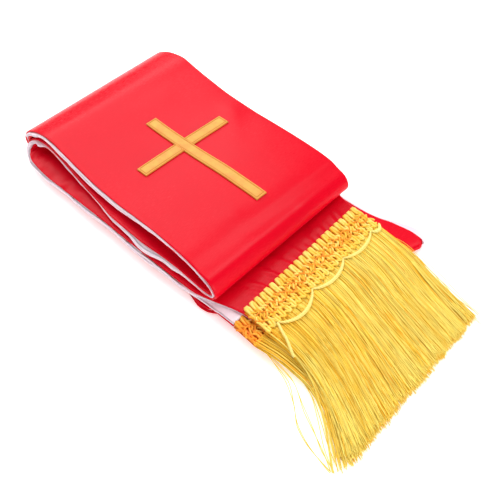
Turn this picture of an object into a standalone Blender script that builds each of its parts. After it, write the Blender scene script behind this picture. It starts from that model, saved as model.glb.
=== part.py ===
"""A clergy stole, doubled at the neck and folded into a flat bundle with its fringed ends on top.

The two halves lie lining to lining and travel together as one double strip: up round the far
fold, over the top layer, round the soft near roll, back under it, round the inner far fold and
out along the lower layer to the fringed ends. The stretch at the neck lies underneath.
Everything is worked out from the path of the surface where the two linings meet.
The tables are in millimetres: +X runs along the bundle towards the fringe, +Y across it and +Z up.
"""
import math
from collections import namedtuple

import bmesh
import bpy
import numpy as np

MM = 0.001
COLLECTION = "embroidered_stole"

# Driving sizes of the cloth
STRIP_WIDTH = 125.0
PANEL_THICK = 1.0
SEAM_GAP = 0.3
CLOTH_CREASE_ANGLE = math.radians(40.0)

# Columns across the strip, from its left edge to its right: how much of a section's crown and of
# its droop each one takes
Column = namedtuple("Column", "v crown droop")
COLUMNS = (
    Column(-1.0, 0.0, 1.0),
    Column(-0.86, 0.26, 0.22),
    Column(-0.36, 0.87, 0.0),
    Column(0.36, 0.87, 0.0),
    Column(0.86, 0.26, 0.0),
    Column(1.0, 0.0, 0.0),
)

# Where the middle of the finished outline lies in the tables
OUTLINE_MIDDLE = (5.70, -3.23)

# One row for each section of the double strip where its path changes, on its left and right edge.
# lining is the thickness of one lining there, droop how far the left edge hangs down, crown how
# far the middle stands above the edges, and cuts the number of stretches before the next row.
Station = namedtuple(
    "Station", "x_left z_left x_right z_right y_left lining droop crown cuts"
)
PATH = (
    # Far fold, from the floor up to the top layer
    Station(-112.0, 2.45, -121.0, 2.45, -62.5, 1.0, 0.0, 0.0, 1),
    Station(-127.0, 2.45, -136.0, 2.45, -62.5, 1.0, 0.0, 0.0, 2),
    Station(-136.5, 4.1, -146.0, 4.1, -63.5, 1.0, 0.0, 0.0, 2),
    Station(-142.2, 8.2, -152.6, 8.6, -64.5, 1.0, 0.0, 0.0, 2),
    Station(-144.2, 14.4, -154.6, 15.0, -65.2, 1.0, 0.0, 0.0, 2),
    Station(-142.4, 20.4, -151.6, 21.6, -65.0, 1.0, 0.0, 0.0, 2),
    Station(-137.0, 25.4, -144.0, 26.6, -64.0, 1.0, 0.0, 0.0, 1),
    Station(-128.6, 28.4, -135.0, 29.2, -62.8, 1.2, 0.0, 0.0, 1),
    # Top layer, which sags in its middle third
    Station(-116.0, 30.2, -124.0, 30.2, -62.5, 2.0, 0.0, 0.2, 1),
    Station(-104.0, 28.3, -112.0, 27.6, -62.6, 2.8, 0.0, 0.6, 2),
    Station(-85.0, 26.0, -93.0, 25.1, -62.9, 3.0, 0.0, 1.0, 2),
    Station(-62.0, 24.8, -70.0, 23.7, -63.3, 2.8, 0.0, 1.4, 2),
    Station(-40.0, 25.4, -48.0, 24.0, -63.2, 2.4, 0.0, 1.4, 2),
    Station(-18.0, 28.1, -26.0, 25.7, -62.8, 1.4, 0.0, 1.0, 2),
    Station(4.0, 29.6, -4.0, 26.8, -62.5, 1.0, 0.0, 0.5, 1),
    Station(20.0, 29.4, 12.0, 27.2, -62.5, 1.0, 0.0, 0.2, 1),
    # Near roll
    Station(32.0, 28.0, 24.0, 26.6, -62.5, 1.0, 0.0, 0.0, 2),
    Station(41.0, 25.0, 33.0, 24.0, -62.5, 1.0, 0.0, 0.0, 2),
    Station(46.6, 21.2, 38.8, 19.8, -62.5, 1.0, 0.0, 0.0, 1),
    Station(48.3, 18.0, 40.6, 16.6, -62.5, 1.0, 0.0, 0.0, 1),
    Station(46.4, 15.2, 39.4, 14.0, -62.7, 1.0, 0.0, 0.0, 1),
    # Middle layer, back towards the far end
    Station(39.0, 14.0, 32.0, 13.2, -63.2, 1.0, 0.0, 0.0, 1),
    Station(20.0, 14.4, 12.0, 13.8, -63.6, 1.2, 0.0, 0.0, 1),
    Station(4.0, 15.8, -4.0, 15.8, -65.6, 1.8, 0.0, 0.0, 1),
    Station(-15.0, 17.1, -23.0, 17.1, -68.2, 2.2, 0.0, 0.0, 1),
    Station(-38.0, 16.9, -46.0, 16.9, -68.4, 1.4, 0.0, 0.0, 1),
    Station(-58.0, 16.7, -66.0, 16.5, -66.2, 1.0, 0.0, 0.0, 1),
    Station(-82.0, 18.2, -90.0, 17.5, -64.4, 1.0, 0.0, 0.0, 1),
    Station(-105.0, 20.9, -113.0, 20.2, -62.8, 1.0, 0.0, 0.0, 1),
    Station(-119.0, 22.4, -127.0, 22.2, -62.5, 1.0, 0.0, 0.0, 1),
    # Inner far fold
    Station(-128.5, 21.9, -137.0, 22.2, -63.2, 1.0, 0.0, 0.0, 2),
    Station(-135.6, 19.2, -144.8, 19.7, -65.0, 1.2, 0.0, 0.0, 2),
    Station(-138.0, 15.2, -148.0, 15.5, -67.8, 1.4, 0.3, 0.0, 2),
    Station(-135.4, 11.6, -145.2, 11.7, -70.4, 1.8, 1.0, 0.0, 2),
    Station(-128.0, 9.5, -137.0, 9.5, -72.2, 2.4, 1.6, 0.0, 1),
    # Lower layer, out to the fringed ends
    Station(-112.0, 9.4, -121.0, 9.4, -73.0, 2.6, 1.8, 0.0, 1),
    Station(-85.0, 9.4, -94.0, 9.4, -72.0, 2.6, 1.5, 0.0, 1),
    Station(-55.0, 9.4, -64.0, 9.4, -70.6, 2.6, 1.0, 0.0, 1),
    Station(-20.0, 9.4, -29.0, 9.4, -69.4, 2.6, 0.7, 0.0, 1),
    Station(5.0, 9.0, -4.0, 9.0, -68.0, 2.2, 0.5, 0.0, 1),
    Station(28.0, 8.1, 19.0, 8.1, -66.0, 1.3, 0.2, 0.0, 1),
    Station(42.0, 7.9, 33.0, 7.9, -64.8, 1.1, 0.0, 0.0, 1),
    Station(54.0, 7.8, 45.0, 7.8, -64.0, 1.0, 0.0, 0.0, 1),
    # End of the lower half's cloth, end of the upper half's cloth, lower edge of the headings
    Station(65.6, 7.75, 56.2, 7.75, -63.5, 1.0, 0.0, 0.0, 1),
    Station(70.6, 7.7, 61.2, 7.7, -63.5, 1.0, 0.0, 0.0, 1),
    Station(84.4, 7.4, 75.0, 7.4, -63.5, 1.0, 0.0, 0.0, 0),
)
LOWER_HALF_END = len(PATH) - 3
UPPER_HALF_END = len(PATH) - 2
HEADING_END = len(PATH) - 1
TOP_LAYER = (7, 16)

# Each fringe heading gathers its half over this length: how far each edge draws in
GATHER_LENGTH = 40.0
UPPER_GATHER = (9.0, 7.0)
LOWER_GATHER = (0.0, 14.0)

# The stretch at the neck: one row for each section, from the far end to the fold at the neck
NeckStation = namedtuple("NeckStation", "x_left y_left x_right y_right bottom top")
NECK = (
    NeckStation(-111.7, -62.5, -120.7, 62.5, 0.0, 4.6),
    NeckStation(-60.0, -62.5, -68.0, 62.2, 0.0, 4.6),
    NeckStation(-10.0, -62.5, -14.0, 61.5, 0.0, 4.6),
    NeckStation(18.0, -62.8, 20.0, 61.0, 0.0, 4.6),
    NeckStation(30.0, -64.6, 36.0, 61.0, 0.0, 4.6),
    NeckStation(38.0, -66.2, 48.0, 61.4, 0.0, 4.6),
    NeckStation(45.0, -65.0, 60.0, 62.6, 0.0, 4.6),
    NeckStation(50.0, -61.5, 68.0, 64.4, 0.0, 4.6),
    NeckStation(60.0, -57.5, 80.0, 69.6, 0.0, 4.6),
    NeckStation(67.0, -54.5, 93.0, 73.6, 0.0, 4.6),
    NeckStation(70.4, -53.0, 99.4, 73.0, 0.2, 4.4),
    NeckStation(72.4, -51.0, 102.6, 69.6, 0.9, 3.7),
    NeckStation(73.0, -49.5, 103.2, 67.4, 1.9, 2.7),
)
NECK_LAYERS = 4
LAYER_NOTCH = 1.1
LAYER_NOTCH_HEIGHT = 0.35

# The cross on the top layer
CROSS_MIDDLE = (-50.9, 1.3)
CROSS_TURN = math.radians(2.5)
CROSS_FOOT = 70.9
CROSS_HEAD = 33.4
CROSS_ARM = 37.4
CROSS_BAR = 9.0
CROSS_THICK = 1.0
CROSS_STEP = 7.0

# The braided headings
HEADING_THICK = 1.5
HEADING_LOOP = 4.5
LOOP_REACH = 1.4
RIB_DEPTH = 0.6
HEADING_SPREAD = 0.6
HEADING_ROWS = (0.0, 0.28, 0.66, 1.0)
LOWER_HEADING_THICK = 2.0

# The fringes: length of a strand, its side, how long it takes to come down past the neck fold, the
# backing strip for one row, and the strands across each row
STRAND_LENGTH = 84.0
STRAND_SIDE = 1.0
STRAND_FALL = 24.0
BACKING_DEPTH = 1.6
BACKING_HEIGHT = 1.35
UPPER_STRANDS = 66
LOWER_STRANDS = 58
# Middle height of each row's strands over the cloth, past the neck fold, half-way and at the tips
UPPER_ROW_HEIGHTS = ((9.1, 8.6, 4.2, 2.3), (10.5, 9.9, 5.6, 3.6))
LOWER_ROW_HEIGHTS = ((5.7, 5.5, 2.0, 0.9),)
FRINGE_SWEEP_LEFT = -26.0
FRINGE_SWEEP_RIGHT = -12.0
LOWER_SWEEP_LEFT = -14.5
LOWER_SWEEP_RIGHT = -8.0
SWEEP_POWER = 1.9
NECK_CLEARANCE = 2.5
SHORTEST_LEVEL_RUN = 8.0
TIP_RAGGEDNESS = 1.6

# The cord that hangs in swags under the upper heading: where it leaves the heading and how deep
# it hangs before the next such place, then the points of its free left end
Swag = namedtuple("Swag", "y depth")
SWAGS = (
    Swag(-45.5, 7.2),
    Swag(-14.0, 5.6),
    Swag(17.0, 4.6),
    Swag(46.0, 3.4),
    Swag(55.0, 0.0),
)
CORD_TAIL = ((105.5, -54.6, 9.9), (101.0, -52.6, 11.2), (96.0, -50.4, 12.2), (90.0, -48.0, 12.9))
CORD_RADIUS = 0.9
CORD_GAP = 0.6
SWAG_POINTS = 7
SWAG_FULLNESS = 0.75


def remove_scene_objects():
    for item in list(bpy.data.objects):
        bpy.data.objects.remove(item, do_unlink=True)


def make_material(name, colour, roughness, metallic=0.0):
    material = bpy.data.materials.new(name)
    material.use_nodes = True
    shader = material.node_tree.nodes["Principled BSDF"]
    shader.inputs["Base Color"].default_value = (*colour, 1.0)
    shader.inputs["Roughness"].default_value = roughness
    shader.inputs["Metallic"].default_value = metallic
    return material


def add_object(name, mesh, material, collection):
    item = bpy.data.objects.new(name, mesh)
    item.data.materials.append(material)
    collection.objects.link(item)
    return item


def to_metres(point):
    x, y, z = point
    return ((x - OUTLINE_MIDDLE[0]) * MM, (y - OUTLINE_MIDDLE[1]) * MM, z * MM)


def steady_slopes(along, values):
    """Slopes for a curve through the values that never overshoots them."""
    step = np.diff(along)
    rise = np.diff(values) / step
    slopes = np.zeros(len(values))
    slopes[0] = rise[0]
    slopes[-1] = rise[-1]
    for i in range(1, len(values) - 1):
        before, after = rise[i - 1], rise[i]
        if before * after > 0.0:
            weight_before = 2.0 * step[i] + step[i - 1]
            weight_after = step[i] + 2.0 * step[i - 1]
            total = weight_before + weight_after
            slopes[i] = total / (weight_before / before + weight_after / after)
    return slopes


def smooth_rows(rows, cuts):
    """Sections along a smooth curve through the rows, and the index of each row's own section."""
    table = np.array(rows, float)
    middle = (table[:, 0:2] + table[:, 2:4]) / 2.0
    along = np.concatenate([[0.0], np.cumsum(np.linalg.norm(np.diff(middle, axis=0), axis=1))])
    slopes = np.array([steady_slopes(along, column) for column in table.T]).T
    sections = []
    row_index = []
    for i, count in enumerate(cuts):
        row_index.append(len(sections))
        sections.append(table[i])
        for k in range(1, count):
            t = k / count
            width = along[i + 1] - along[i]
            start = (1.0 + 2.0 * t) * (1.0 - t) ** 2
            end = t * t * (3.0 - 2.0 * t)
            lead = t * (1.0 - t) ** 2 * width
            trail = t * t * (t - 1.0) * width
            sections.append(
                table[i] * start + table[i + 1] * end + slopes[i] * lead + slopes[i + 1] * trail
            )
    return np.array(sections), row_index


class DoubleStrip:
    """The folded double strip: sections across it, from the neck to the fringed ends."""

    def __init__(self):
        rows = [row[:-1] for row in PATH]
        cuts = [row.cuts for row in PATH]
        self.sections, self.row_index = smooth_rows(rows, cuts)
        middle = (self.sections[:, 0:2] + self.sections[:, 2:4]) / 2.0
        steps = np.linalg.norm(np.diff(middle, axis=0), axis=1)
        self.along = np.concatenate([[0.0], np.cumsum(steps)])

    def lining(self, i):
        return self.sections[i][5]

    def outer_offset(self, i):
        """From the surface between the linings to a panel's outer face."""
        return 1.5 * SEAM_GAP + self.lining(i) + PANEL_THICK

    def gather(self, i, amounts, end_row):
        start = self.along[self.row_index[end_row]] - GATHER_LENGTH
        share = min(max((self.along[i] - start) / GATHER_LENGTH, 0.0), 1.0)
        eased = share * share * (3.0 - 2.0 * share)
        return amounts[0] * eased, amounts[1] * eased

    def middle_line(self, i, v):
        """x and z of the surface between the linings."""
        x_left, z_left, x_right, z_right = self.sections[i][0:4]
        share = (v + 1.0) / 2.0
        return (
            x_left + (x_right - x_left) * share,
            z_left + (z_right - z_left) * share,
        )

    def point(self, i, v, offset, gathers=(0.0, 0.0)):
        """A point of section i, v from -1 at the left edge to 1, moved out towards the upper half."""
        last = len(self.sections) - 1
        x0, z0 = self.middle_line(max(i - 1, 0), v)
        x1, z1 = self.middle_line(min(i + 1, last), v)
        length = math.hypot(x1 - x0, z1 - z0)
        x, z = self.middle_line(i, v)
        y_left, _, droop, crown = self.sections[i][4:8]
        left = y_left + gathers[0]
        right = y_left + STRIP_WIDTH - gathers[1]
        y = left + (right - left) * (v + 1.0) / 2.0
        places, crown_shares, droop_shares = zip(*COLUMNS)
        z += crown * float(np.interp(v, places, crown_shares))
        z -= droop * float(np.interp(v, places, droop_shares))
        return (x - offset * (z1 - z0) / length, y, z + offset * (x1 - x0) / length)

    def row_between(self, row, share, v, offset, gathers):
        """A point between a row of the table and the next one, on a straight line."""
        here = np.array(self.point(self.row_index[row], v, offset, gathers))
        there = np.array(self.point(self.row_index[row + 1], v, offset, gathers))
        return here + (there - here) * share


def loft(name, rings):
    """A closed mesh through rings that all have the same number of points."""
    mesh = bpy.data.meshes.new(name)
    bm = bmesh.new()
    loops = [[bm.verts.new(to_metres(point)) for point in ring] for ring in rings]
    count = len(rings[0])
    for first, second in zip(loops, loops[1:]):
        for j in range(count):
            k = (j + 1) % count
            bm.faces.new((first[j], first[k], second[k], second[j]))
    for end in (loops[0], loops[-1]):
        for j in range(count // 2 - 1):
            bm.faces.new((end[j], end[j + 1], end[count - 2 - j], end[count - 1 - j]))
    bmesh.ops.recalc_face_normals(bm, faces=bm.faces)
    bm.to_mesh(mesh)
    bm.free()
    return mesh


def flat_ring(outer, inner):
    """A ring of an outer row from left to right and an inner row back again."""
    return list(outer) + list(reversed(inner))


def make_wall(strip, name, side, is_lining, end_row, gathers, material, collection):
    """One cloth of the double strip, side 1 for the upper half and -1 for the lower."""
    rings = []
    for i in range(strip.row_index[end_row] + 1):
        if is_lining:
            near = SEAM_GAP / 2.0
            far = near + strip.lining(i)
        else:
            near = 1.5 * SEAM_GAP + strip.lining(i)
            far = near + PANEL_THICK
        drawn_in = strip.gather(i, gathers, end_row)
        outer = [strip.point(i, column.v, side * far, drawn_in) for column in COLUMNS]
        inner = [strip.point(i, column.v, side * near, drawn_in) for column in COLUMNS]
        rings.append(flat_ring(outer, inner))
    item = add_object(name, loft(name, rings), material, collection)
    item.data.shade_smooth()
    item.data.set_sharp_from_angle(angle=CLOTH_CREASE_ANGLE)
    return item


def neck_ring(row):
    """A section of the neck stretch: flat below, rounded corners, a notch between its layers."""
    left = []
    right = []
    height = (row.top - row.bottom) / NECK_LAYERS
    notch = min(LAYER_NOTCH, height)
    half_notch = min(LAYER_NOTCH_HEIGHT / 2.0, height / 4.0)
    direction = np.array([row.x_right - row.x_left, row.y_right - row.y_left])
    direction = direction / np.linalg.norm(direction)

    def at(side, inset, z):
        if side < 0:
            x, y = np.array([row.x_left, row.y_left]) + direction * inset
        else:
            x, y = np.array([row.x_right, row.y_right]) - direction * inset
        return (x, y, z)

    for side, points in ((-1, left), (1, right)):
        for layer in range(NECK_LAYERS):
            low = row.bottom + layer * height
            high = low + height
            bottom_inset = notch if layer == 0 else 0.0
            top_inset = notch if layer == NECK_LAYERS - 1 else 0.0
            if layer == 0:
                points.append(at(side, bottom_inset, low))
            else:
                points.append(at(side, 0.0, low + half_notch))
            if layer == NECK_LAYERS - 1:
                points.append(at(side, 0.0, high - height / 2.0))
                points.append(at(side, top_inset, high))
            else:
                points.append(at(side, 0.0, high - half_notch))
                points.append(at(side, notch, high))
    return left + list(reversed(right))


def make_neck(material, collection):
    """The hidden layers at the neck as one rounded solid, with its layers cut into the edges."""
    name = "neck_stretch"
    mesh = bpy.data.meshes.new(name)
    bm = bmesh.new()
    loops = []
    for row in NECK:
        loops.append([bm.verts.new(to_metres(point)) for point in neck_ring(row)])
    count = len(loops[0])
    for first, second in zip(loops, loops[1:]):
        for j in range(count):
            k = (j + 1) % count
            bm.faces.new((first[j], first[k], second[k], second[j]))
    bm.faces.new(loops[0])
    bm.faces.new(loops[-1])
    bmesh.ops.recalc_face_normals(bm, faces=bm.faces)
    bm.to_mesh(mesh)
    bm.free()
    return add_object(name, mesh, material, collection)


class TopLayer:
    """The outer face of the upper half's panel where it lies on top."""

    def __init__(self, strip):
        self.strip = strip
        self.indices = range(strip.row_index[TOP_LAYER[0]], strip.row_index[TOP_LAYER[1]] + 1)

    def point(self, x, y, out):
        y_left = self.strip.sections[self.indices[0]][4]
        v = (y - y_left) / STRIP_WIDTH * 2.0 - 1.0
        line = np.array(
            [self.strip.point(i, v, self.strip.outer_offset(i)) for i in self.indices]
        )
        return (x, y, float(np.interp(x, line[:, 0], line[:, 2])) + out)


def make_bar(name, top, start, end, material, collection):
    """A bar of the cross, from start to end along the cross's own axes, made from the panel's points."""
    along = np.array(end) - np.array(start)
    length = float(np.linalg.norm(along))
    along = along / length
    across = np.array([-along[1], along[0]])
    turn = np.array(
        [
            [math.cos(CROSS_TURN), -math.sin(CROSS_TURN)],
            [math.sin(CROSS_TURN), math.cos(CROSS_TURN)],
        ]
    )
    rings = []
    steps = max(2, round(length / CROSS_STEP))
    for k in range(steps + 1):
        ring = {}
        for out in (SEAM_GAP + CROSS_THICK, SEAM_GAP):
            row = []
            for share in (-0.5, 0.0, 0.5):
                own = np.array(start) + along * length * k / steps + across * CROSS_BAR * share
                x, y = turn @ own + np.array(CROSS_MIDDLE)
                row.append(top.point(x, y, out))
            ring[out] = row
        rings.append(flat_ring(ring[SEAM_GAP + CROSS_THICK], ring[SEAM_GAP]))
    return add_object(name, loft(name, rings), material, collection)


def make_cross(strip, material, collection):
    top = TopLayer(strip)
    clear = CROSS_BAR / 2.0 + SEAM_GAP
    make_bar("cross_upright", top, (-CROSS_HEAD, 0.0), (CROSS_FOOT, 0.0), material, collection)
    make_bar("cross_arm_left", top, (0.0, -CROSS_ARM), (0.0, -clear), material, collection)
    make_bar("cross_arm_right", top, (0.0, clear), (0.0, CROSS_ARM), material, collection)


def make_heading(strip, name, low, high, gathers, end_row, first_gap, material, collection):
    """A braided heading from the strip's points moved out, ribbed, with loops along its upper edge."""
    section = strip.row_index[LOWER_HALF_END]
    drawn_in = strip.gather(section, gathers, end_row)
    width = STRIP_WIDTH - sum(drawn_in)
    loops = round(width / HEADING_LOOP)
    columns = loops * 3
    first_length = PATH[UPPER_HALF_END].x_left - PATH[LOWER_HALF_END].x_left
    whole = PATH[HEADING_END].x_left - PATH[LOWER_HALF_END].x_left
    widen = 1.0 + 2.0 * HEADING_SPREAD / width

    def at(share, v, offset):
        distance = share * whole
        if distance <= first_length:
            return strip.row_between(LOWER_HALF_END, distance / first_length, v, offset, drawn_in)
        rest = (distance - first_length) / (whole - first_length)
        return strip.row_between(UPPER_HALF_END, rest, v, offset, drawn_in)

    rings = []
    for c in range(columns + 1):
        v = (c / columns * 2.0 - 1.0) * widen
        rib = 0.0 if c % 3 == 0 else 1.0
        start = first_gap if end_row == LOWER_HALF_END else 0.0
        reach = 0.0 if end_row == LOWER_HALF_END else LOOP_REACH * rib
        outer = []
        for share in HEADING_ROWS:
            raised = high - RIB_DEPTH * (1.0 - rib)
            point = at(max(share, start / whole), v, raised)
            if share == 0.0:
                point = point - np.array([reach, 0.0, 0.0])
            outer.append(point)
        inner = []
        for share in HEADING_ROWS:
            point = at(max(share, start / whole), v, low)
            if share == 0.0:
                point = point - np.array([reach, 0.0, 0.0])
            inner.append(point)
        rings.append(flat_ring(outer, inner))
    return add_object(name, loft(name, rings), material, collection)


def neck_end_at(y):
    """x of the neck fold under a strand that leaves its heading at y."""
    last = NECK[-1]
    share = (y - last.y_left) / (last.y_right - last.y_left)
    return last.x_left + (last.x_right - last.x_left) * share


def ragged(index, row):
    """A repeatable unevenness from -1 to 1."""
    return math.sin(index * 12.9898 + row * 78.233) * math.cos(index * 4.1414 + row * 1.7)


def make_fringe(name, root_left, root_right, count, heights, sweeps, material, collection):
    """Strands drawn out of a narrow backing strip, one face of it for each strand."""
    rows = len(heights)
    bottom = heights[0][0] - BACKING_HEIGHT / 2.0
    left = np.array(root_left)
    right = np.array(root_right)
    mesh = bpy.data.meshes.new(name)
    bm = bmesh.new()

    def root(share):
        return left + (right - left) * share

    front = {}
    back = {}
    for c in range(count + 1):
        x, y = root(c / count)
        for r in range(rows + 1):
            z = bottom + r * BACKING_HEIGHT
            front[c, r] = bm.verts.new(to_metres((x + BACKING_DEPTH, y, z)))
            if r in (0, rows):
                back[c, r] = bm.verts.new(to_metres((x, y, z)))
    cells = {}
    for c in range(count):
        bm.faces.new((back[c, 0], back[c + 1, 0], back[c + 1, rows], back[c, rows]))
        bm.faces.new((back[c, 0], back[c + 1, 0], front[c + 1, 0], front[c, 0]))
        bm.faces.new((back[c, rows], back[c + 1, rows], front[c + 1, rows], front[c, rows]))
        for r in range(rows):
            corners = (front[c, r], front[c + 1, r], front[c + 1, r + 1], front[c, r + 1])
            cells[c, r] = bm.faces.new(corners)
    for c in (0, count):
        side = [back[c, 0]] + [front[c, r] for r in range(rows + 1)] + [back[c, rows]]
        bm.faces.new(side)
    bmesh.ops.recalc_face_normals(bm, faces=bm.faces)

    for (c, r), face in cells.items():
        share = (c + 0.5) / count
        x, y = root(share)
        x += BACKING_DEPTH
        sweep = sweeps[0] + (sweeps[1] - sweeps[0]) * share
        length = STRAND_LENGTH - BACKING_DEPTH + TIP_RAGGEDNESS * ragged(c, r)
        reach = math.sqrt(length * length - sweep * sweep)
        level = max(SHORTEST_LEVEL_RUN, neck_end_at(y) + NECK_CLEARANCE - x)
        runs = (level, level + STRAND_FALL, reach)
        corners = ((-0.5, -0.5), (0.5, -0.5), (0.5, 0.5), (-0.5, 0.5))
        for run, height in zip(runs, heights[r][1:]):
            swept = y + sweep * (run / reach) ** SWEEP_POWER
            made = bmesh.ops.extrude_discrete_faces(bm, faces=[face])
            face = made["faces"][0]
            middle = np.array([x + run, swept, height])
            order = sorted(face.verts, key=lambda vert: math.atan2(
                vert.co.z - face.calc_center_median().z, vert.co.y - face.calc_center_median().y))
            for vert, (across, up) in zip(order, corners):
                vert.co = to_metres(middle + np.array([0.0, across, up]) * STRAND_SIDE)
    bm.normal_update()
    bm.to_mesh(mesh)
    bm.free()
    return add_object(name, mesh, material, collection)


def make_swag_cord(strip, material, collection):
    """The cord that hangs in swags over the top of the upper fringe."""
    curve = bpy.data.curves.new("swag_cord", "CURVE")
    curve.dimensions = "3D"
    curve.bevel_depth = CORD_RADIUS * MM
    curve.bevel_resolution = 1
    curve.use_fill_caps = True
    end = strip.row_index[HEADING_END]
    drawn_in = strip.gather(end, UPPER_GATHER, UPPER_HALF_END)
    left = strip.point(end, -1.0, 0.0, drawn_in)
    right = strip.point(end, 1.0, 0.0, drawn_in)
    height = UPPER_ROW_HEIGHTS[-1][0] + STRAND_SIDE + SEAM_GAP + CORD_RADIUS
    points = list(CORD_TAIL)
    for swag, following in zip(SWAGS, SWAGS[1:]):
        for k in range(SWAG_POINTS):
            y = swag.y + (following.y - swag.y) * k / SWAG_POINTS
            x = left[0] + (right[0] - left[0]) * (y - left[1]) / (right[1] - left[1])
            drop = swag.depth * math.sin(math.pi * k / SWAG_POINTS) ** SWAG_FULLNESS
            points.append((x + CORD_RADIUS + CORD_GAP + drop, y, height))
    spline = curve.splines.new("POLY")
    spline.points.add(len(points) - 1)
    for slot, point in zip(spline.points, points):
        slot.co = (*to_metres(point), 1.0)
    item = bpy.data.objects.new("swag_cord", curve)
    item.data.materials.append(material)
    collection.objects.link(item)
    return item


def main():
    remove_scene_objects()
    collection = bpy.data.collections.new(COLLECTION)
    bpy.context.scene.collection.children.link(collection)
    red = make_material("red_satin", (0.86, 0.02, 0.04), 0.35)
    white = make_material("white_lining", (0.78, 0.74, 0.80), 0.5)
    gold = make_material("gold_braid", (0.85, 0.50, 0.09), 0.45)
    yellow = make_material("gold_fringe", (0.95, 0.62, 0.10), 0.4)
    applique = make_material("gold_applique", (0.85, 0.50, 0.16), 0.5)

    strip = DoubleStrip()
    upper = (UPPER_HALF_END, UPPER_GATHER)
    lower = (LOWER_HALF_END, LOWER_GATHER)
    make_wall(strip, "upper_half_panel", 1, False, *upper, red, collection)
    make_wall(strip, "upper_half_lining", 1, True, *upper, white, collection)
    make_wall(strip, "lower_half_lining", -1, True, *lower, white, collection)
    make_wall(strip, "lower_half_panel", -1, False, *lower, red, collection)
    make_neck(red, collection)
    make_cross(strip, applique, collection)

    on_panel = strip.outer_offset(strip.row_index[UPPER_HALF_END]) + SEAM_GAP
    make_heading(strip, "upper_heading", on_panel, on_panel + HEADING_THICK,
                 UPPER_GATHER, UPPER_HALF_END, 0.0, gold, collection)
    make_heading(strip, "lower_heading", -SEAM_GAP - LOWER_HEADING_THICK, -SEAM_GAP,
                 LOWER_GATHER, LOWER_HALF_END, SEAM_GAP, gold, collection)

    end = strip.row_index[HEADING_END]
    for name, gathers, half_end, count, heights, sweeps in (
        ("upper_fringe", UPPER_GATHER, UPPER_HALF_END, UPPER_STRANDS, UPPER_ROW_HEIGHTS,
         (FRINGE_SWEEP_LEFT, FRINGE_SWEEP_RIGHT)),
        ("lower_fringe", LOWER_GATHER, LOWER_HALF_END, LOWER_STRANDS, LOWER_ROW_HEIGHTS,
         (LOWER_SWEEP_LEFT, LOWER_SWEEP_RIGHT)),
    ):
        drawn_in = strip.gather(end, gathers, half_end)
        ends = [strip.point(end, v, 0.0, drawn_in) for v in (-1.0, 1.0)]
        roots = [(x + SEAM_GAP, y) for x, y, _ in ends]
        make_fringe(name, roots[0], roots[1], count, heights, sweeps, yellow, collection)
    make_swag_cord(strip, yellow, collection)


main()
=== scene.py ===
"""The looks of a folded clergy stole: satin, linings, braid, fringe and cross around its solids.

The file is laid out as a Blender add-on and run as a script. The tables are in millimetres in the
folding frame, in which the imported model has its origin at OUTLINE_MIDDLE.
"""

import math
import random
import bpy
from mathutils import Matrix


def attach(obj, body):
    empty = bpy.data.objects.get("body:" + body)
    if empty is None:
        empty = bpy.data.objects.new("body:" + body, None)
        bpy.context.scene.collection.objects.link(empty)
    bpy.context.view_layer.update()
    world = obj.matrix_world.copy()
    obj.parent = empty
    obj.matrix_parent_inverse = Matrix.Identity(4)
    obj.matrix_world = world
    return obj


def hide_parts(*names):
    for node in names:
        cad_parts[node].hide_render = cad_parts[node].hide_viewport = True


bl_info = {
    "name": "Folded embroidered stole",
    "version": (1, 0, 0),
    "blender": (4, 5, 0),
    "location": "3D View > Sidebar > Stole",
    "description": "Dresses the folded stole in satin, lining, braid and fringe",
    "category": "Object",
}

from collections import namedtuple

import bmesh
import bpy
import numpy as np
from bpy.props import FloatProperty, FloatVectorProperty, IntProperty, PointerProperty
from mathutils import Matrix, Vector, noise

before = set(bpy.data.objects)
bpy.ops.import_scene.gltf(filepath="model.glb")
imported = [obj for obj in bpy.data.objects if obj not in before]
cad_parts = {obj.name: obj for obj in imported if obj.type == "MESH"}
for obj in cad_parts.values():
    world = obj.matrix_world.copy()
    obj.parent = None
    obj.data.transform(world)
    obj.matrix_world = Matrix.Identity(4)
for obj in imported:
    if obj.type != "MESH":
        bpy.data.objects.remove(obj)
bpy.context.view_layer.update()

MM = 0.001
ROOT = "root"
OUTLINE_MIDDLE = (5.70, -3.23)
STRIP_WIDTH = 125.0
SEAM_GAP = 0.3
# Wall of the solid panels, which the cross lies clear of
PANEL_WALL = 1.0

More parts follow.
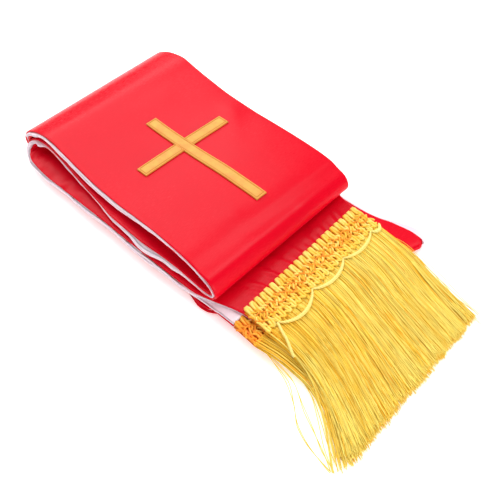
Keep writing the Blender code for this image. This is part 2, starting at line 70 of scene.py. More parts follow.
# The path of the surface between the linings, one row for each change, as the solids have it
Station = namedtuple("Station", "x_left z_left x_right z_right y_left lining droop crown")
PATH = (
    Station(-112.0, 2.45, -121.0, 2.45, -62.5, 1.0, 0.0, 0.0),
    Station(-127.0, 2.45, -136.0, 2.45, -62.5, 1.0, 0.0, 0.0),
    Station(-136.5, 4.1, -146.0, 4.1, -63.5, 1.0, 0.0, 0.0),
    Station(-142.2, 8.2, -152.6, 8.6, -64.5, 1.0, 0.0, 0.0),
    Station(-144.2, 14.4, -154.6, 15.0, -65.2, 1.0, 0.0, 0.0),
    Station(-142.4, 20.4, -151.6, 21.6, -65.0, 1.0, 0.0, 0.0),
    Station(-137.0, 25.4, -144.0, 26.6, -64.0, 1.0, 0.0, 0.0),
    Station(-128.6, 28.4, -135.0, 29.2, -62.8, 1.2, 0.0, 0.0),
    Station(-116.0, 30.2, -124.0, 30.2, -62.5, 2.0, 0.0, 0.2),
    Station(-104.0, 28.3, -112.0, 27.6, -62.6, 2.8, 0.0, 0.6),
    Station(-85.0, 26.0, -93.0, 25.1, -62.9, 3.0, 0.0, 1.0),
    Station(-62.0, 24.8, -70.0, 23.7, -63.3, 2.8, 0.0, 1.4),
    Station(-40.0, 25.4, -48.0, 24.0, -63.2, 2.4, 0.0, 1.4),
    Station(-18.0, 28.1, -26.0, 25.7, -62.8, 1.4, 0.0, 1.0),
    Station(4.0, 29.6, -4.0, 26.8, -62.5, 1.0, 0.0, 0.5),
    Station(20.0, 29.4, 12.0, 27.2, -62.5, 1.0, 0.0, 0.2),
    Station(32.0, 28.0, 24.0, 26.6, -62.5, 1.0, 0.0, 0.0),
    Station(41.0, 25.0, 33.0, 24.0, -62.5, 1.0, 0.0, 0.0),
    Station(46.6, 21.2, 38.8, 19.8, -62.5, 1.0, 0.0, 0.0),
    Station(48.3, 18.0, 40.6, 16.6, -62.5, 1.0, 0.0, 0.0),
    Station(46.4, 15.2, 39.4, 14.0, -62.7, 1.0, 0.0, 0.0),
    Station(39.0, 14.0, 32.0, 13.2, -63.2, 1.0, 0.0, 0.0),
    Station(20.0, 14.4, 12.0, 13.8, -63.6, 1.2, 0.0, 0.0),
    Station(4.0, 15.8, -4.0, 15.8, -65.6, 1.8, 0.0, 0.0),
    Station(-15.0, 17.1, -23.0, 17.1, -68.2, 2.2, 0.0, 0.0),
    Station(-38.0, 16.9, -46.0, 16.9, -68.4, 1.4, 0.0, 0.0),
    Station(-58.0, 16.7, -66.0, 16.5, -66.2, 1.0, 0.0, 0.0),
    Station(-82.0, 18.2, -90.0, 17.5, -64.4, 1.0, 0.0, 0.0),
    Station(-105.0, 20.9, -113.0, 20.2, -62.8, 1.0, 0.0, 0.0),
    Station(-119.0, 22.4, -127.0, 22.2, -62.5, 1.0, 0.0, 0.0),
    Station(-128.5, 21.9, -137.0, 22.2, -63.2, 1.0, 0.0, 0.0),
    Station(-135.6, 19.2, -144.8, 19.7, -65.0, 1.2, 0.0, 0.0),
    Station(-138.0, 15.2, -148.0, 15.5, -67.8, 1.4, 0.3, 0.0),
    Station(-135.4, 11.6, -145.2, 11.7, -70.4, 1.8, 1.0, 0.0),
    Station(-128.0, 9.5, -137.0, 9.5, -72.2, 2.4, 1.6, 0.0),
    Station(-112.0, 9.4, -121.0, 9.4, -73.0, 2.6, 1.8, 0.0),
    Station(-85.0, 9.4, -94.0, 9.4, -72.0, 2.6, 1.5, 0.0),
    Station(-55.0, 9.4, -64.0, 9.4, -70.6, 2.6, 1.0, 0.0),
    Station(-20.0, 9.4, -29.0, 9.4, -69.4, 2.6, 0.7, 0.0),
    Station(5.0, 9.0, -4.0, 9.0, -68.0, 2.2, 0.5, 0.0),
    Station(28.0, 8.1, 19.0, 8.1, -66.0, 1.3, 0.2, 0.0),
    Station(42.0, 7.9, 33.0, 7.9, -64.8, 1.1, 0.0, 0.0),
    Station(54.0, 7.8, 45.0, 7.8, -64.0, 1.0, 0.0, 0.0),
    Station(65.6, 7.75, 56.2, 7.75, -63.5, 1.0, 0.0, 0.0),
    Station(70.6, 7.7, 61.2, 7.7, -63.5, 1.0, 0.0, 0.0),
)
LOWER_END = len(PATH) - 2
UPPER_END = len(PATH) - 1
ROW_SPACING = 2.6
ROW_TURN = math.radians(9.0)
# Places across: even ones for the satin, and ones that crowd at the edges for what shows only there
SATIN_COLUMNS = np.linspace(0.0, 1.0, 84)
EDGE_COLUMNS = 0.5 - 0.5 * np.cos(np.linspace(0.0, math.pi, 26))
# Where the round of a wall's edge has its points between both faces
EDGE_ANGLES = (45.0, 0.0, -45.0)

# How far each edge draws in over the last stretch before a heading: left and right
GATHER_LENGTH = 40.0
UPPER_GATHER = (9.0, 7.0)
LOWER_GATHER = (0.0, 14.0)

# Creases and swells of the satin, each between two places: the row of the path with its fraction
# and the distance from the strip's middle. The height runs from the first place to the second.
Crease = namedtuple("Crease", "row0 y0 row1 y1 width height0 height1")
UPPER_CREASES = (
    # Soft ridge along the near roll and the dip before it
    Crease(17.3, -72.0, 17.7, 72.0, 4.8, 1.1, 1.0),
    Crease(16.2, -72.0, 16.95, 72.0, 5.0, -0.6, -0.9),
    Crease(17.0, -24.0, 17.6, -6.0, 5.0, 0.35, 0.1),
    Crease(17.4, 22.0, 17.0, 44.0, 5.0, 0.3, 0.1),
    # Broad swells of the top layer
    Crease(13.4, 10.0, 14.6, 44.0, 11.0, 0.5, 0.2),
    Crease(9.0, -40.0, 9.6, 20.0, 10.0, 0.3, 0.5),
    Crease(11.6, 50.0, 12.6, 30.0, 8.0, 0.5, 0.2),
    Crease(14.2, -48.0, 15.0, -20.0, 8.0, 0.1, 0.5),
    # Gathers at the heading
    Crease(43.0, -50.0, 42.32, -51.9, 1.8, 0.71, 0.0),
    Crease(43.0, -43.0, 41.88, -46.1, 2.0, 0.84, 0.1),
    Crease(43.0, -36.0, 41.39, -41.0, 1.7, 0.91, 0.2),
    Crease(43.0, -30.0, 42.26, -31.9, 1.5, 0.71, 0.0),
    Crease(43.0, -23.0, 41.26, -27.3, 1.8, 0.91, 0.2),
    Crease(43.0, -16.5, 42.38, -17.4, 1.6, 0.78, 0.0),
    Crease(43.0, -10.0, 41.7, -13.1, 1.7, 0.91, 0.1),
    Crease(43.0, -4.0, 42.32, -5.2, 1.6, 0.91, 0.0),
    Crease(43.0, 2.5, 41.76, 1.6, 1.7, 0.84, 0.1),
    Crease(43.0, 9.0, 42.32, 9.3, 1.6, 0.98, 0.0),
    Crease(43.0, 15.0, 41.95, 16.2, 1.7, 0.78, 0.1),
    Crease(43.0, 21.5, 42.38, 22.1, 1.5, 0.84, 0.0),
    Crease(43.0, 28.0, 41.82, 29.9, 1.7, 0.91, 0.1),
    Crease(43.0, 34.5, 42.32, 36.0, 1.6, 0.91, 0.0),
    Crease(43.0, 41.0, 41.64, 44.1, 1.8, 0.98, 0.2),
    Crease(43.0, 47.5, 42.13, 49.7, 1.7, 0.91, 0.1),
    Crease(41.6, -8.0, 40.3, -22.0, 3.0, -0.7, -0.2),
    Crease(41.8, 22.0, 40.6, 30.0, 3.0, -0.7, -0.2),
    # Inside of the gap between the top and the middle layer
    Crease(21.5, -62.0, 22.4, -30.0, 3.0, 0.5, 0.1),
    Crease(23.6, -62.0, 23.0, -20.0, 4.0, 0.7, 0.1),
    Crease(36.2, -62.0, 36.6, -24.0, 5.0, 0.8, 0.1),
    Crease(34.6, -62.0, 34.9, -20.0, 3.0, 1.0, 0.2),
    Crease(33.4, -62.0, 33.2, -16.0, 2.0, 0.8, 0.1),
    Crease(34.2, -62.0, 34.5, -38.0, 1.6, 1.5, 0.3),
    Crease(35.3, -62.0, 35.2, -35.0, 2.4, -1.0, -0.2),
    Crease(35.7, -62.0, 35.9, -40.0, 1.8, 1.4, 0.2),
    Crease(20.9, -62.0, 21.3, -40.0, 2.0, 0.9, 0.1),
    # Far fold
    Crease(4.2, -62.0, 4.6, 30.0, 5.0, 0.6, 0.1),
    Crease(3.0, 62.0, 3.4, 10.0, 4.0, 0.7, 0.1),
)
LOWER_CREASES = (
    # Gathers at the heading
    Crease(43.0, -40.0, 41.0, -44.0, 1.5, 0.87, 0.0),
    Crease(43.0, -22.0, 40.6, -24.0, 1.8, 1.01, 0.0),
    Crease(43.0, 0.0, 41.2, 2.0, 1.4, 0.87, 0.0),
    Crease(43.0, 22.0, 41.0, 27.0, 1.7, 1.01, 0.0),
    Crease(43.0, 40.0, 41.4, 46.0, 1.3, 0.87, 0.0),
    # Inside of the folds
    Crease(10.6, -62.0, 10.2, -10.0, 4.0, 0.4, 0.1),
    Crease(25.0, -62.0, 25.4, 0.0, 5.0, 0.5, 0.1),
    Crease(30.6, 62.0, 30.3, 20.0, 2.0, 0.4, 0.0),
)

# Where the linings puff out beyond the satin's edge: along the path, how long, how far out and up
Puff = namedtuple("Puff", "row length out up")
LEFT_PUFFS = (
    Puff(3.4, 7.0, -1.0, 0.0),
    Puff(5.6, 3.0, 2.2, 0.3),
    Puff(6.6, 4.0, 1.7, -0.3),
    Puff(8.4, 10.0, 0.6, 0.2),
    Puff(11.5, 24.0, 0.5, 0.1),
    Puff(23.6, 11.0, 2.2, 0.7),
    Puff(26.6, 24.0, -0.35, 0.0),
    Puff(28.6, 10.0, -0.3, 0.0),
    Puff(22.3, 6.0, 1.0, 0.4),
    Puff(29.9, 3.5, 2.4, 0.7),
    Puff(31.0, 3.5, 2.2, -0.4),
    Puff(32.5, 4.5, 0.8, -0.3),
    Puff(33.8, 7.0, 1.6, 0.1),
    Puff(35.0, 12.0, 1.6, 0.1),
    Puff(36.6, 20.0, 1.2, 0.1),
    Puff(38.2, 22.0, 1.2, 0.1),
    Puff(39.8, 14.0, 1.0, 0.1),
)
RIGHT_PUFFS = (
    Puff(3.4, 6.0, 0.7, 0.2),
    Puff(6.2, 7.0, 0.9, 0.2),
    Puff(10.8, 22.0, 0.5, 0.2),
    Puff(19.6, 5.0, 0.6, 0.2),
    Puff(24.2, 18.0, 0.7, 0.3),
    Puff(31.0, 6.0, 0.9, 0.2),
    Puff(33.4, 7.0, 0.9, 0.1),
    Puff(36.8, 24.0, 0.6, 0.2),
)
LINING_APART = 0.05
LINING_PROUD = 0.35
LINING_RIPPLE = 0.22
# How much thicker than its solid a lining may look
LINING_SPARE = 0.4
# How fast a puff fades from the lining's edge inwards
PUFF_FADE = 14
# How thick one lining looks along the path: the satin's turned-in edge fills the rest of its room
Shown = namedtuple("Shown", "row thickness")
LINING_SHOWN = (
    Shown(0.0, 0.6), Shown(2.0, 0.35), Shown(5.0, 0.4), Shown(5.6, 1.0), Shown(7.0, 1.0),
    Shown(8.0, 1.7), Shown(9.0, 2.7), Shown(10.0, 3.0), Shown(11.0, 2.9), Shown(12.0, 2.6),
    Shown(13.0, 1.9), Shown(14.0, 1.3),
    Shown(15.0, 0.7), Shown(17.0, 0.32), Shown(20.0, 0.32), Shown(21.0, 0.5), Shown(22.0, 1.1),
    Shown(23.0, 1.8), Shown(24.0, 2.2), Shown(25.0, 0.9), Shown(26.0, 0.4), Shown(27.0, 0.3),
    Shown(29.0, 0.35), Shown(30.0, 0.8), Shown(31.0, 1.1), Shown(32.0, 1.4), Shown(33.0, 1.8),
    Shown(34.0, 2.4), Shown(35.0, 2.6), Shown(39.0, 2.1), Shown(40.0, 1.2), Shown(44.0, 0.8),
)

# The stretch at the neck, from the far end to its fold
NeckStation = namedtuple("NeckStation", "x_left y_left x_right y_right bottom top")
NECK = (
    NeckStation(-111.7, -62.5, -120.7, 62.5, 0.0, 4.6),
    NeckStation(-60.0, -62.5, -68.0, 62.2, 0.0, 4.6),
    NeckStation(-10.0, -62.5, -14.0, 61.5, 0.0, 4.6),
    NeckStation(18.0, -62.8, 20.0, 61.0, 0.0, 4.6),
    NeckStation(30.0, -64.6, 36.0, 61.0, 0.0, 4.6),
    NeckStation(38.0, -66.2, 48.0, 61.4, 0.0, 4.6),
    NeckStation(45.0, -65.0, 60.0, 62.6, 0.0, 4.6),
    NeckStation(50.0, -61.5, 68.0, 64.4, 0.0, 4.6),
    NeckStation(60.0, -57.5, 80.0, 69.6, 0.0, 4.6),
    NeckStation(67.0, -54.5, 93.0, 73.6, 0.0, 4.6),
    NeckStation(70.4, -53.0, 99.4, 73.0, 0.2, 4.4),
    NeckStation(72.4, -51.0, 102.6, 69.6, 0.9, 3.7),
    NeckStation(73.0, -49.5, 103.2, 67.4, 1.9, 2.7),
)
NECK_WALL = 1.0
NECK_LINING_WALL = 1.0
NECK_LINING_CLEAR = 0.15
# The row where the neck stretch begins to widen, and the one with its corner
NECK_WIDENS = 7
NECK_CORNER = 9
CORNER_SPREAD = 12.0

# The cross on the top layer
CROSS_MIDDLE = (-50.9, 1.3)
CROSS_TURN = math.radians(2.5)
CROSS_FOOT = 70.9
CROSS_HEAD = 33.4
CROSS_ARM = 37.4
CROSS_BAR = 9.0
CROSS_STEP = 1.3
CROSS_CLEAR = 0.05
CROSS_UNDERSIDE = 0.12
# Rows of the path between which the top layer carries the cross
CROSS_ROWS = (7, 16)
# The appliqué from its edge inwards: distance, height over the satin, and share of border thread
Profile = namedtuple("Profile", "inside rise border")
CROSS_PROFILE = (
    Profile(0.0, 0.30, 0.5),
    Profile(0.2, 0.80, 0.2),
    Profile(0.55, 1.05, 0.0),
    Profile(0.9, 0.98, 0.2),
    Profile(1.1, 0.70, 1.0),
    Profile(1.45, 0.68, 1.0),
    Profile(1.65, 0.86, 0.1),
    Profile(2.6, 0.95, 0.0),
    Profile(4.5, 1.0, 0.0),
)

# The headings: x of their upper edge at the strip's left edge, its change to the right, their
# length, and how far they fall along it
HEADING_TOP = 65.6
HEADING_SKEW = -9.4
HEADING_LENGTH = 18.8
HEADING_FALL = 0.35
HEADING_LOOPS = 24
# One heading: its gathers, the underside of its woven ground and the middle of its cords over the
# strip, the share of its length where the ground starts, how far its loops stand up past it, and
# the lowest tone of a loop
Heading = namedtuple("Heading", "gathers low base start reach low_tone")
UPPER_HEADING = Heading(UPPER_GATHER, 2.75, 3.75, 0.02, 1.1, 0.5)
LOWER_HEADING = Heading(LOWER_GATHER, -2.3, -1.1, 0.03, 0.0, 0.45)
BAND_DEPTH = 0.6
BAND_SECTIONS = 110
# Half a loop's width as a share of its room, how far its sides weave up and down, its points
LOOP_HALF = 0.19
LOOP_WAVE = 0.35
LOOP_POINTS = 38
ZIGZAG_TURNS = 12
ZIGZAG_STEPS = 6
ZIGZAG_SHARES = (0.34, 0.68)
ZIGZAG_RISE = 0.8
ZIGZAG_RADIUS = 0.48
# The rows of stitches: the share of the heading's length where each lies, and its slant
StitchRow = namedtuple("StitchRow", "share slant")
STITCH_ROWS = (StitchRow(0.3, 0.011), StitchRow(0.52, -0.013), StitchRow(0.76, 0.012))
STITCHES = HEADING_LOOPS * 5
STITCH_THICKNESS = 0.62
BRAID_SEED = 11

# One fringe: the gathers of its heading, the sweep of its left and right strands, where along
# their length they bend and how far they draw in before that, and the lowest and highest layer at
# the root, past the neck fold, half-way and at the tips
Fringe = namedtuple("Fringe", "gathers sweep bend drawn_in root over middle tip")
UPPER_FRINGE = Fringe(
    UPPER_GATHER, (-21.0, -11.5), (0.42, 0.12), (3.0, 0.0),
    (8.5, 11.1), (8.1, 10.6), (3.4, 6.6), (0.7, 3.6),
)
LOWER_FRINGE = Fringe(
    LOWER_GATHER, (-14.5, -8.0), (0.50, 0.30), (6.5, 0.0),
    (5.3, 7.4), (5.1, 7.8), (1.0, 4.2), (0.5, 1.8),
)
BEND_SOFTNESS = 0.2
STRAND_LENGTH = 84.0
STRAND_POINTS = 13
STRAND_SIDES = 3
# A short last step, so that the closed end doesn't shade the whole of it
STRAND_TIP = 0.4
# How deep a strand starts in its heading, its level run past the neck fold, and its way down
STRAND_INSIDE = 1.5
SHORTEST_LEVEL_RUN = 9.0
NECK_CLEARANCE = 3.5
STRAND_FALL = 22.0
# Every so many strands one is a thick filler, which lies low and closes the fringe
FILLER_EVERY = 8
FILLER_THICKNESS = 2.6
FILLER_TOP = 0.45
FILLER_SHORTER = 2.5
LAYER_SHORTER = 2.4
# How far the tips stray, everywhere and at the frayed edges, each a sixteenth of the width
STRAY = 1.6
STRAY_LEFT = 3.5
STRAY_RIGHT = 4.0
STRAY_MOST = 6.0
FRAYED_EDGES = 16.0
ORANGE_STRANDS = 0.12
FRINGE_SEED = 5

# Swags of the cord: y where each meets the heading, and how deep the next swag hangs
Swag = namedtuple("Swag", "y depth")
SWAGS = (
    Swag(-45.5, 7.2),
    Swag(-14.0, 5.6),
    Swag(17.0, 4.6),
    Swag(46.0, 3.4),
    Swag(55.0, 0.0),
)
SWAG_LEVEL = 11.6
SWAG_THIN = 0.4
SWAG_FULL = 0.75
# The cord's free end, down over the fringe
SWAG_TAIL = (
    (84.6, -46.2, 12.4),
    (90.0, -48.4, 12.6),
    (96.0, -50.4, 12.0),
    (101.0, -52.6, 11.0),
    (105.5, -54.6, 9.7),
)
SWAG_TAIL_RADIUS = 0.85

# Loose threads beside the fringe: x and y of six points of each
LOOSE_THREADS = (
    ((90.0, -61.6), (110.0, -64.2), (123.2, -72.3), (133.8, -80.4), (146.4, -84.0), (160.6, -85.2)),
    ((90.0, -61.0), (108.0, -64.8), (121.0, -71.0), (132.5, -79.0), (145.0, -83.4), (161.4, -86.0)),
    ((90.0, -61.3), (110.0, -62.0), (130.9, -71.9), (142.3, -76.4), (153.6, -81.2), (161.3, -85.3)),
    ((90.0, -60.6), (108.0, -61.4), (127.0, -69.0), (140.0, -75.0), (151.0, -80.6), (162.6, -84.0)),
    ((90.0, -61.0), (110.4, -57.8), (123.4, -60.6), (138.0, -69.5), (151.8, -79.2), (163.0, -84.6)),
    ((90.0, -60.0), (112.0, -57.4), (126.0, -61.4), (140.0, -69.0), (152.6, -76.8), (163.6, -82.0)),
    ((78.0, 52.8), (98.0, 58.2), (118.0, 58.0), (138.0, 54.0), (150.0, 51.4), (158.0, 50.6)),
    ((79.0, 52.6), (100.0, 56.8), (122.0, 54.6), (143.0, 49.0), (153.0, 46.6), (163.0, 45.0)),
    ((79.0, 52.2), (97.0, 56.0), (114.0, 56.0), (134.0, 50.6), (144.0, 48.4), (154.0, 47.4)),
)
# Their heights at those points, by the side of the fringe
LOOSE_LEFT_HEIGHTS = (5.2, 2.6, 1.6, 1.2, 0.9, 0.5)
LOOSE_RIGHT_HEIGHTS = (8.6, 5.8, 2.0, 1.4, 0.9, 0.5)
LOOSE_RADIUS = 0.22

# The studio's lamps, in metres and watts, each turned to the stole
Lamp = namedtuple("Lamp", "name place size size_y power")
LAMPS = (
    Lamp("back_box", (-1.20, 0.15, 1.05), 2.0, 1.2, 25.0),
    Lamp("roll_box", (0.10, 0.62, 1.22), 0.5, 0.4, 4.2),
    Lamp("overhead", (-0.45, 0.30, 1.30), 0.9, 0.9, 5.0),
    Lamp("side_fill", (0.45, -1.10, 0.50), 1.6, 0.8, 2.8),
    Lamp("front_fill", (1.20, 0.05, 0.40), 0.8, 0.5, 9.0),
)
WORLD_LIGHT = 0.2
FLOOR_GLOW = 0.42
FLOOR_REACH = 3.0
FLOOR_LEVEL = -0.0003

# The photograph's view, in the folding frame
LENS = 50.0
SENSOR = 36.0
CAMERA_AZIMUTH = math.radians(46.09)
CAMERA_ELEVATION = math.radians(50.17)
CAMERA_PLACE = (232.8, -210.7, 341.7)


def to_metres(points):
    """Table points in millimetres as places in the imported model's frame."""
    middle = np.array([OUTLINE_MIDDLE[0], OUTLINE_MIDDLE[1], 0.0])
    return (np.asarray(points, float) - middle) * MM


def unit(vectors):
    length = np.linalg.norm(vectors, axis=-1, keepdims=True)
    return vectors / np.maximum(length, 1e-9)


def steady_slopes(along, values):
    """Slopes for a curve through the values that never overshoots them."""
    step = np.diff(along)
    rise = np.diff(values) / step
    slopes = np.zeros(len(values))
    slopes[0] = rise[0]
    slopes[-1] = rise[-1]
    for i in range(1, len(values) - 1):
        before, after = rise[i - 1], rise[i]
        if before * after > 0.0:
            weight_before = 2.0 * step[i] + step[i - 1]
            weight_after = step[i] + 2.0 * step[i - 1]
            total = weight_before + weight_after
            slopes[i] = total / (weight_before / before + weight_after / after)
    return slopes


def steady_curve(along, values, wanted):
    """The values at the wanted places, on the steady curve through the given ones."""
    along = np.asarray(along, float)
    values = np.asarray(values, float)
    slopes = steady_slopes(along, values)
    wanted = np.clip(wanted, along[0], along[-1])
    i = np.clip(np.searchsorted(along, wanted, side="right") - 1, 0, len(along) - 2)
    width = along[i + 1] - along[i]
    t = (wanted - along[i]) / width
    return (
        values[i] * (1.0 + 2.0 * t) * (1.0 - t) ** 2
        + values[i + 1] * t * t * (3.0 - 2.0 * t)
        + slopes[i] * t * (1.0 - t) ** 2 * width
        + slopes[i + 1] * t * t * (t - 1.0) * width
    )


def ripple(place, wavelength, seed):
    """A smooth repeatable unevenness, about -1 to 1."""
    return 1.6 * noise.noise(Vector((place / wavelength, seed * 7.31, seed * 1.7)))


class Cloth:
    """A surface sampled along and across, with its outward directions."""

    def __init__(self, points, along, columns):
        self.points = points
        self.along = along
        self.across = columns * 2.0 - 1.0
        self.out = unit(np.cross(np.gradient(points, axis=0), np.gradient(points, axis=1)))
        self.side = unit(np.gradient(points, axis=1))

    def moved(self, offset):
        """The surface's points moved out by an offset for each of them, or one for all."""
        return self.points + self.out * np.broadcast_to(offset, self.points.shape[:2])[..., None]

    def wall(self, near, far):
        """Rings of a wall between two offsets, with rounded edges."""
        near = np.broadcast_to(near, self.points.shape[:2])
        far = np.broadcast_to(far, self.points.shape[:2])
        half = (far - near) / 2.0
        inset = half.copy()
        inset[:, 1:-1] = 0.0
        inset[:, -1] *= -1.0
        drawn_in = self.points + self.side * inset[..., None]
        outer = drawn_in + self.out * far[..., None]
        inner = drawn_in + self.out * near[..., None]
        core = drawn_in + self.out * ((near + far) / 2.0)[..., None]
        rounds = []
        for column, sign in ((-1, 1.0), (0, -1.0)):
            middle = core[:, column]
            arc = []
            for angle in EDGE_ANGLES:
                lift = math.sin(math.radians(angle)) * half[:, column, None]
                push = math.cos(math.radians(angle)) * half[:, column, None]
                arc.append(middle + self.out[:, column] * lift + self.side[:, column] * push * sign)
            if column == 0:
                arc.reverse()
            rounds.append(np.stack(arc, axis=1))
        return np.concatenate([outer, rounds[0], inner[:, ::-1], rounds[1]], axis=1)


class DoubleStrip:
    """The folded double strip between the linings."""

    def __init__(self):
        table = np.array(PATH, float)
        middle = (table[:, 0:2] + table[:, 2:4]) / 2.0
        steps = np.linalg.norm(np.diff(middle, axis=0), axis=1)
        self.row_along = np.concatenate([[0.0], np.cumsum(steps)])
        self.table = table
        self.samples = self.sample_places(middle)

    def sample_places(self, middle):
        """Places along the path, closer together where it turns."""
        slopes = [steady_slopes(self.row_along, middle[:, k]) for k in (0, 1)]
        heading = np.unwrap(np.arctan2(slopes[1], slopes[0]))
        places = []
        for i in range(len(self.row_along) - 1):
            length = self.row_along[i + 1] - self.row_along[i]
            turn = abs(heading[i + 1] - heading[i])
            count = max(2, math.ceil(length / ROW_SPACING), math.ceil(turn / ROW_TURN))
            places.extend(self.row_along[i] + length * np.arange(count) / count)
        return np.array(places + [self.row_along[-1]])

    def place(self, row):
        """The distance along the path of a row with its fraction."""
        return float(np.interp(row, range(len(self.row_along)), self.row_along))

    def columns(self, places):
        return [steady_curve(self.row_along, column, places) for column in self.table.T]

    def surface(self, end_row, gathers, columns):
        """The strip's own surface up to a row, drawn in towards its heading."""
        end = self.row_along[end_row]
        places = self.samples[self.samples <= end + 1e-6]
        x_left, z_left, x_right, z_right, y_left, lining, droop, crown = self.columns(places)
        share = np.clip((places - end + GATHER_LENGTH) / GATHER_LENGTH, 0.0, 1.0)
        eased = share * share * (3.0 - 2.0 * share)
        left = y_left + gathers[0] * eased
        right = y_left + STRIP_WIDTH - gathers[1] * eased
        v = columns[None, :]
        across = v * 2.0 - 1.0
        x = x_left[:, None] + (x_right - x_left)[:, None] * v
        y = left[:, None] + (right - left)[:, None] * v
        z = z_left[:, None] + (z_right - z_left)[:, None] * v
        z = z + crown[:, None] * (1.0 - across**2)
        z = z - droop[:, None] * np.where(across < 0.0, np.abs(across) ** 10, 0.0)
        cloth = Cloth(np.stack([x, y, z], axis=-1), places, columns)
        return cloth, lining

    def shown(self, cloth, lining):
        """How thick the lining looks at each section."""
        rows, thickness = zip(*LINING_SHOWN)
        places = [self.place(row) for row in rows]
        return np.minimum(lining + LINING_SPARE, np.interp(cloth.along, places, thickness))

    def panel_offsets(self, cloth, lining, creases, wall):
        """Inner and outer face of a satin panel, from the surface between the linings."""
        lift = self.creased(cloth, creases)
        shown = self.shown(cloth, lining)[:, None]
        near = shown + np.maximum(0.5 * SEAM_GAP + lift, 0.1)
        far = 1.5 * SEAM_GAP + lining[:, None] + wall + lift
        return near, far

    def creased(self, cloth, creases):
        """How far the creases lift each point of the cloth."""
        place = cloth.along[:, None]
        across = (cloth.across * STRIP_WIDTH / 2.0)[None, :]
        lift = np.zeros(cloth.points.shape[:2])
        for crease in creases:
            start = np.array([self.place(crease.row0), crease.y0])
            end = np.array([self.place(crease.row1), crease.y1])
            run = end - start
            share = ((place - start[0]) * run[0] + (across - start[1]) * run[1]) / (run @ run)
            share = np.clip(share, 0.0, 1.0)
            away = np.hypot(
                place - start[0] - share * run[0], across - start[1] - share * run[1]
            )
            height = crease.height0 + (crease.height1 - crease.height0) * share
            lift = lift + height * np.exp(-((away / crease.width) ** 2))
        return lift

    def puffed(self, cloth, seed):
        """Moves the lining's edges out beyond the satin, unevenly."""
        across = cloth.across[None, :]
        for sign, puffs in ((-1.0, LEFT_PUFFS), (1.0, RIGHT_PUFFS)):
            out = np.full(len(cloth.along), LINING_PROUD)
            up = np.zeros(len(cloth.along))
            for puff in puffs:
                near = np.exp(-(((cloth.along - self.place(puff.row)) / puff.length) ** 2))
                out += puff.out * near
                up += puff.up * near
            for i, place in enumerate(cloth.along):
                up[i] += LINING_RIPPLE * ripple(place, 5.0, seed + 5.0 + sign)
                out[i] += LINING_RIPPLE * ripple(place, 9.0, seed + sign)
                out[i] += LINING_RIPPLE * ripple(place, 31.0, seed + 3.0 + sign)
            left_over = (cloth.along[-1] - cloth.along) / GATHER_LENGTH
            out = out * np.clip(left_over * 1.6, 0.0, 1.0) - 0.5 * (left_over < 0.3)
            weight = np.where(across * sign > 0.0, np.abs(across) ** PUFF_FADE, 0.0)
            cloth.points = (
                cloth.points
                + cloth.side * (sign * out[:, None] * weight)[..., None]
                + cloth.out * (up[:, None] * weight)[..., None]
            )
        return cloth


STRIP = DoubleStrip()

# Points after which the weaver starts a new batch
BATCH_SIZE = 5000


class Weaver:
    """Collects closed tubes in one mesh, each shaped from a grid.

    They are made in batches, because an operator takes longer in a mesh that holds much.
    """

    def __init__(self):
        self.whole = bmesh.new()
        self.start_batch()

    def start_batch(self):
        self.bm = bmesh.new()
        self.uv = self.bm.loops.layers.uv.new("UVMap")
        self.tone = self.bm.verts.layers.float.new("tone")

    def add(self, rings, tone=0.5):
        """Adds a tube through rings of shape (along, around, 3), in millimetres."""
        along, around = rings.shape[:2]
        closed = np.concatenate([rings, rings[:, :1]], axis=1)
        metres = to_metres(closed)
        lengths = np.linalg.norm(np.diff(metres.mean(axis=1), axis=0), axis=1)
        v = np.concatenate([[0.0], np.cumsum(lengths)])
        widths = np.linalg.norm(np.diff(metres, axis=1), axis=-1).mean(axis=0)
        u = np.concatenate([[0.0], np.cumsum(widths)])
        made = bmesh.ops.create_grid(
            self.bm, x_segments=along - 1, y_segments=around, size=0.5
        )["verts"]
        tones = np.asarray(tone, float)
        tones = np.broadcast_to(tones[:, None] if tones.ndim == 1 else tones, (along, around))
        where = {}
        for vert in made:
            i = round((vert.co.x + 0.5) * (along - 1))
            j = round((vert.co.y + 0.5) * around)
            where[vert] = (i, j)
            vert[self.tone] = float(tones[i, j % around])
        for vert, (i, j) in where.items():
            vert.co = metres[i, j]
        for face in {face for vert in made for face in vert.link_faces}:
            face.smooth = True
            for loop in face.loops:
                i, j = where[loop.vert]
                loop[self.uv].uv = (u[j], v[i])
        if len(self.bm.verts) > BATCH_SIZE:
            self.close_batch()
            self.start_batch()

    def close_batch(self):
        """Closes the batch's tubes and adds them to the whole."""
        bmesh.ops.remove_doubles(self.bm, verts=self.bm.verts, dist=1e-7)
        rims = [edge for edge in self.bm.edges if edge.is_boundary]
        bmesh.ops.holes_fill(self.bm, edges=rims, sides=0)
        bmesh.ops.recalc_face_normals(self.bm, faces=self.bm.faces)
        batch = bpy.data.meshes.new("batch")
        self.bm.to_mesh(batch)
        self.bm.free()
        self.whole.from_mesh(batch)
        bpy.data.meshes.remove(batch)

    def object(self, name, material, replaces=()):
        """Makes the object that rides on the part."""
        self.close_batch()
        mesh = bpy.data.meshes.new(name)
        self.whole.to_mesh(mesh)
        self.whole.free()
        mesh.materials.append(material)
        piece = bpy.data.objects.new(name, mesh)
        bpy.context.scene.collection.objects.link(piece)
        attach(piece, ROOT)
        if replaces:
            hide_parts(*replaces)
        return piece


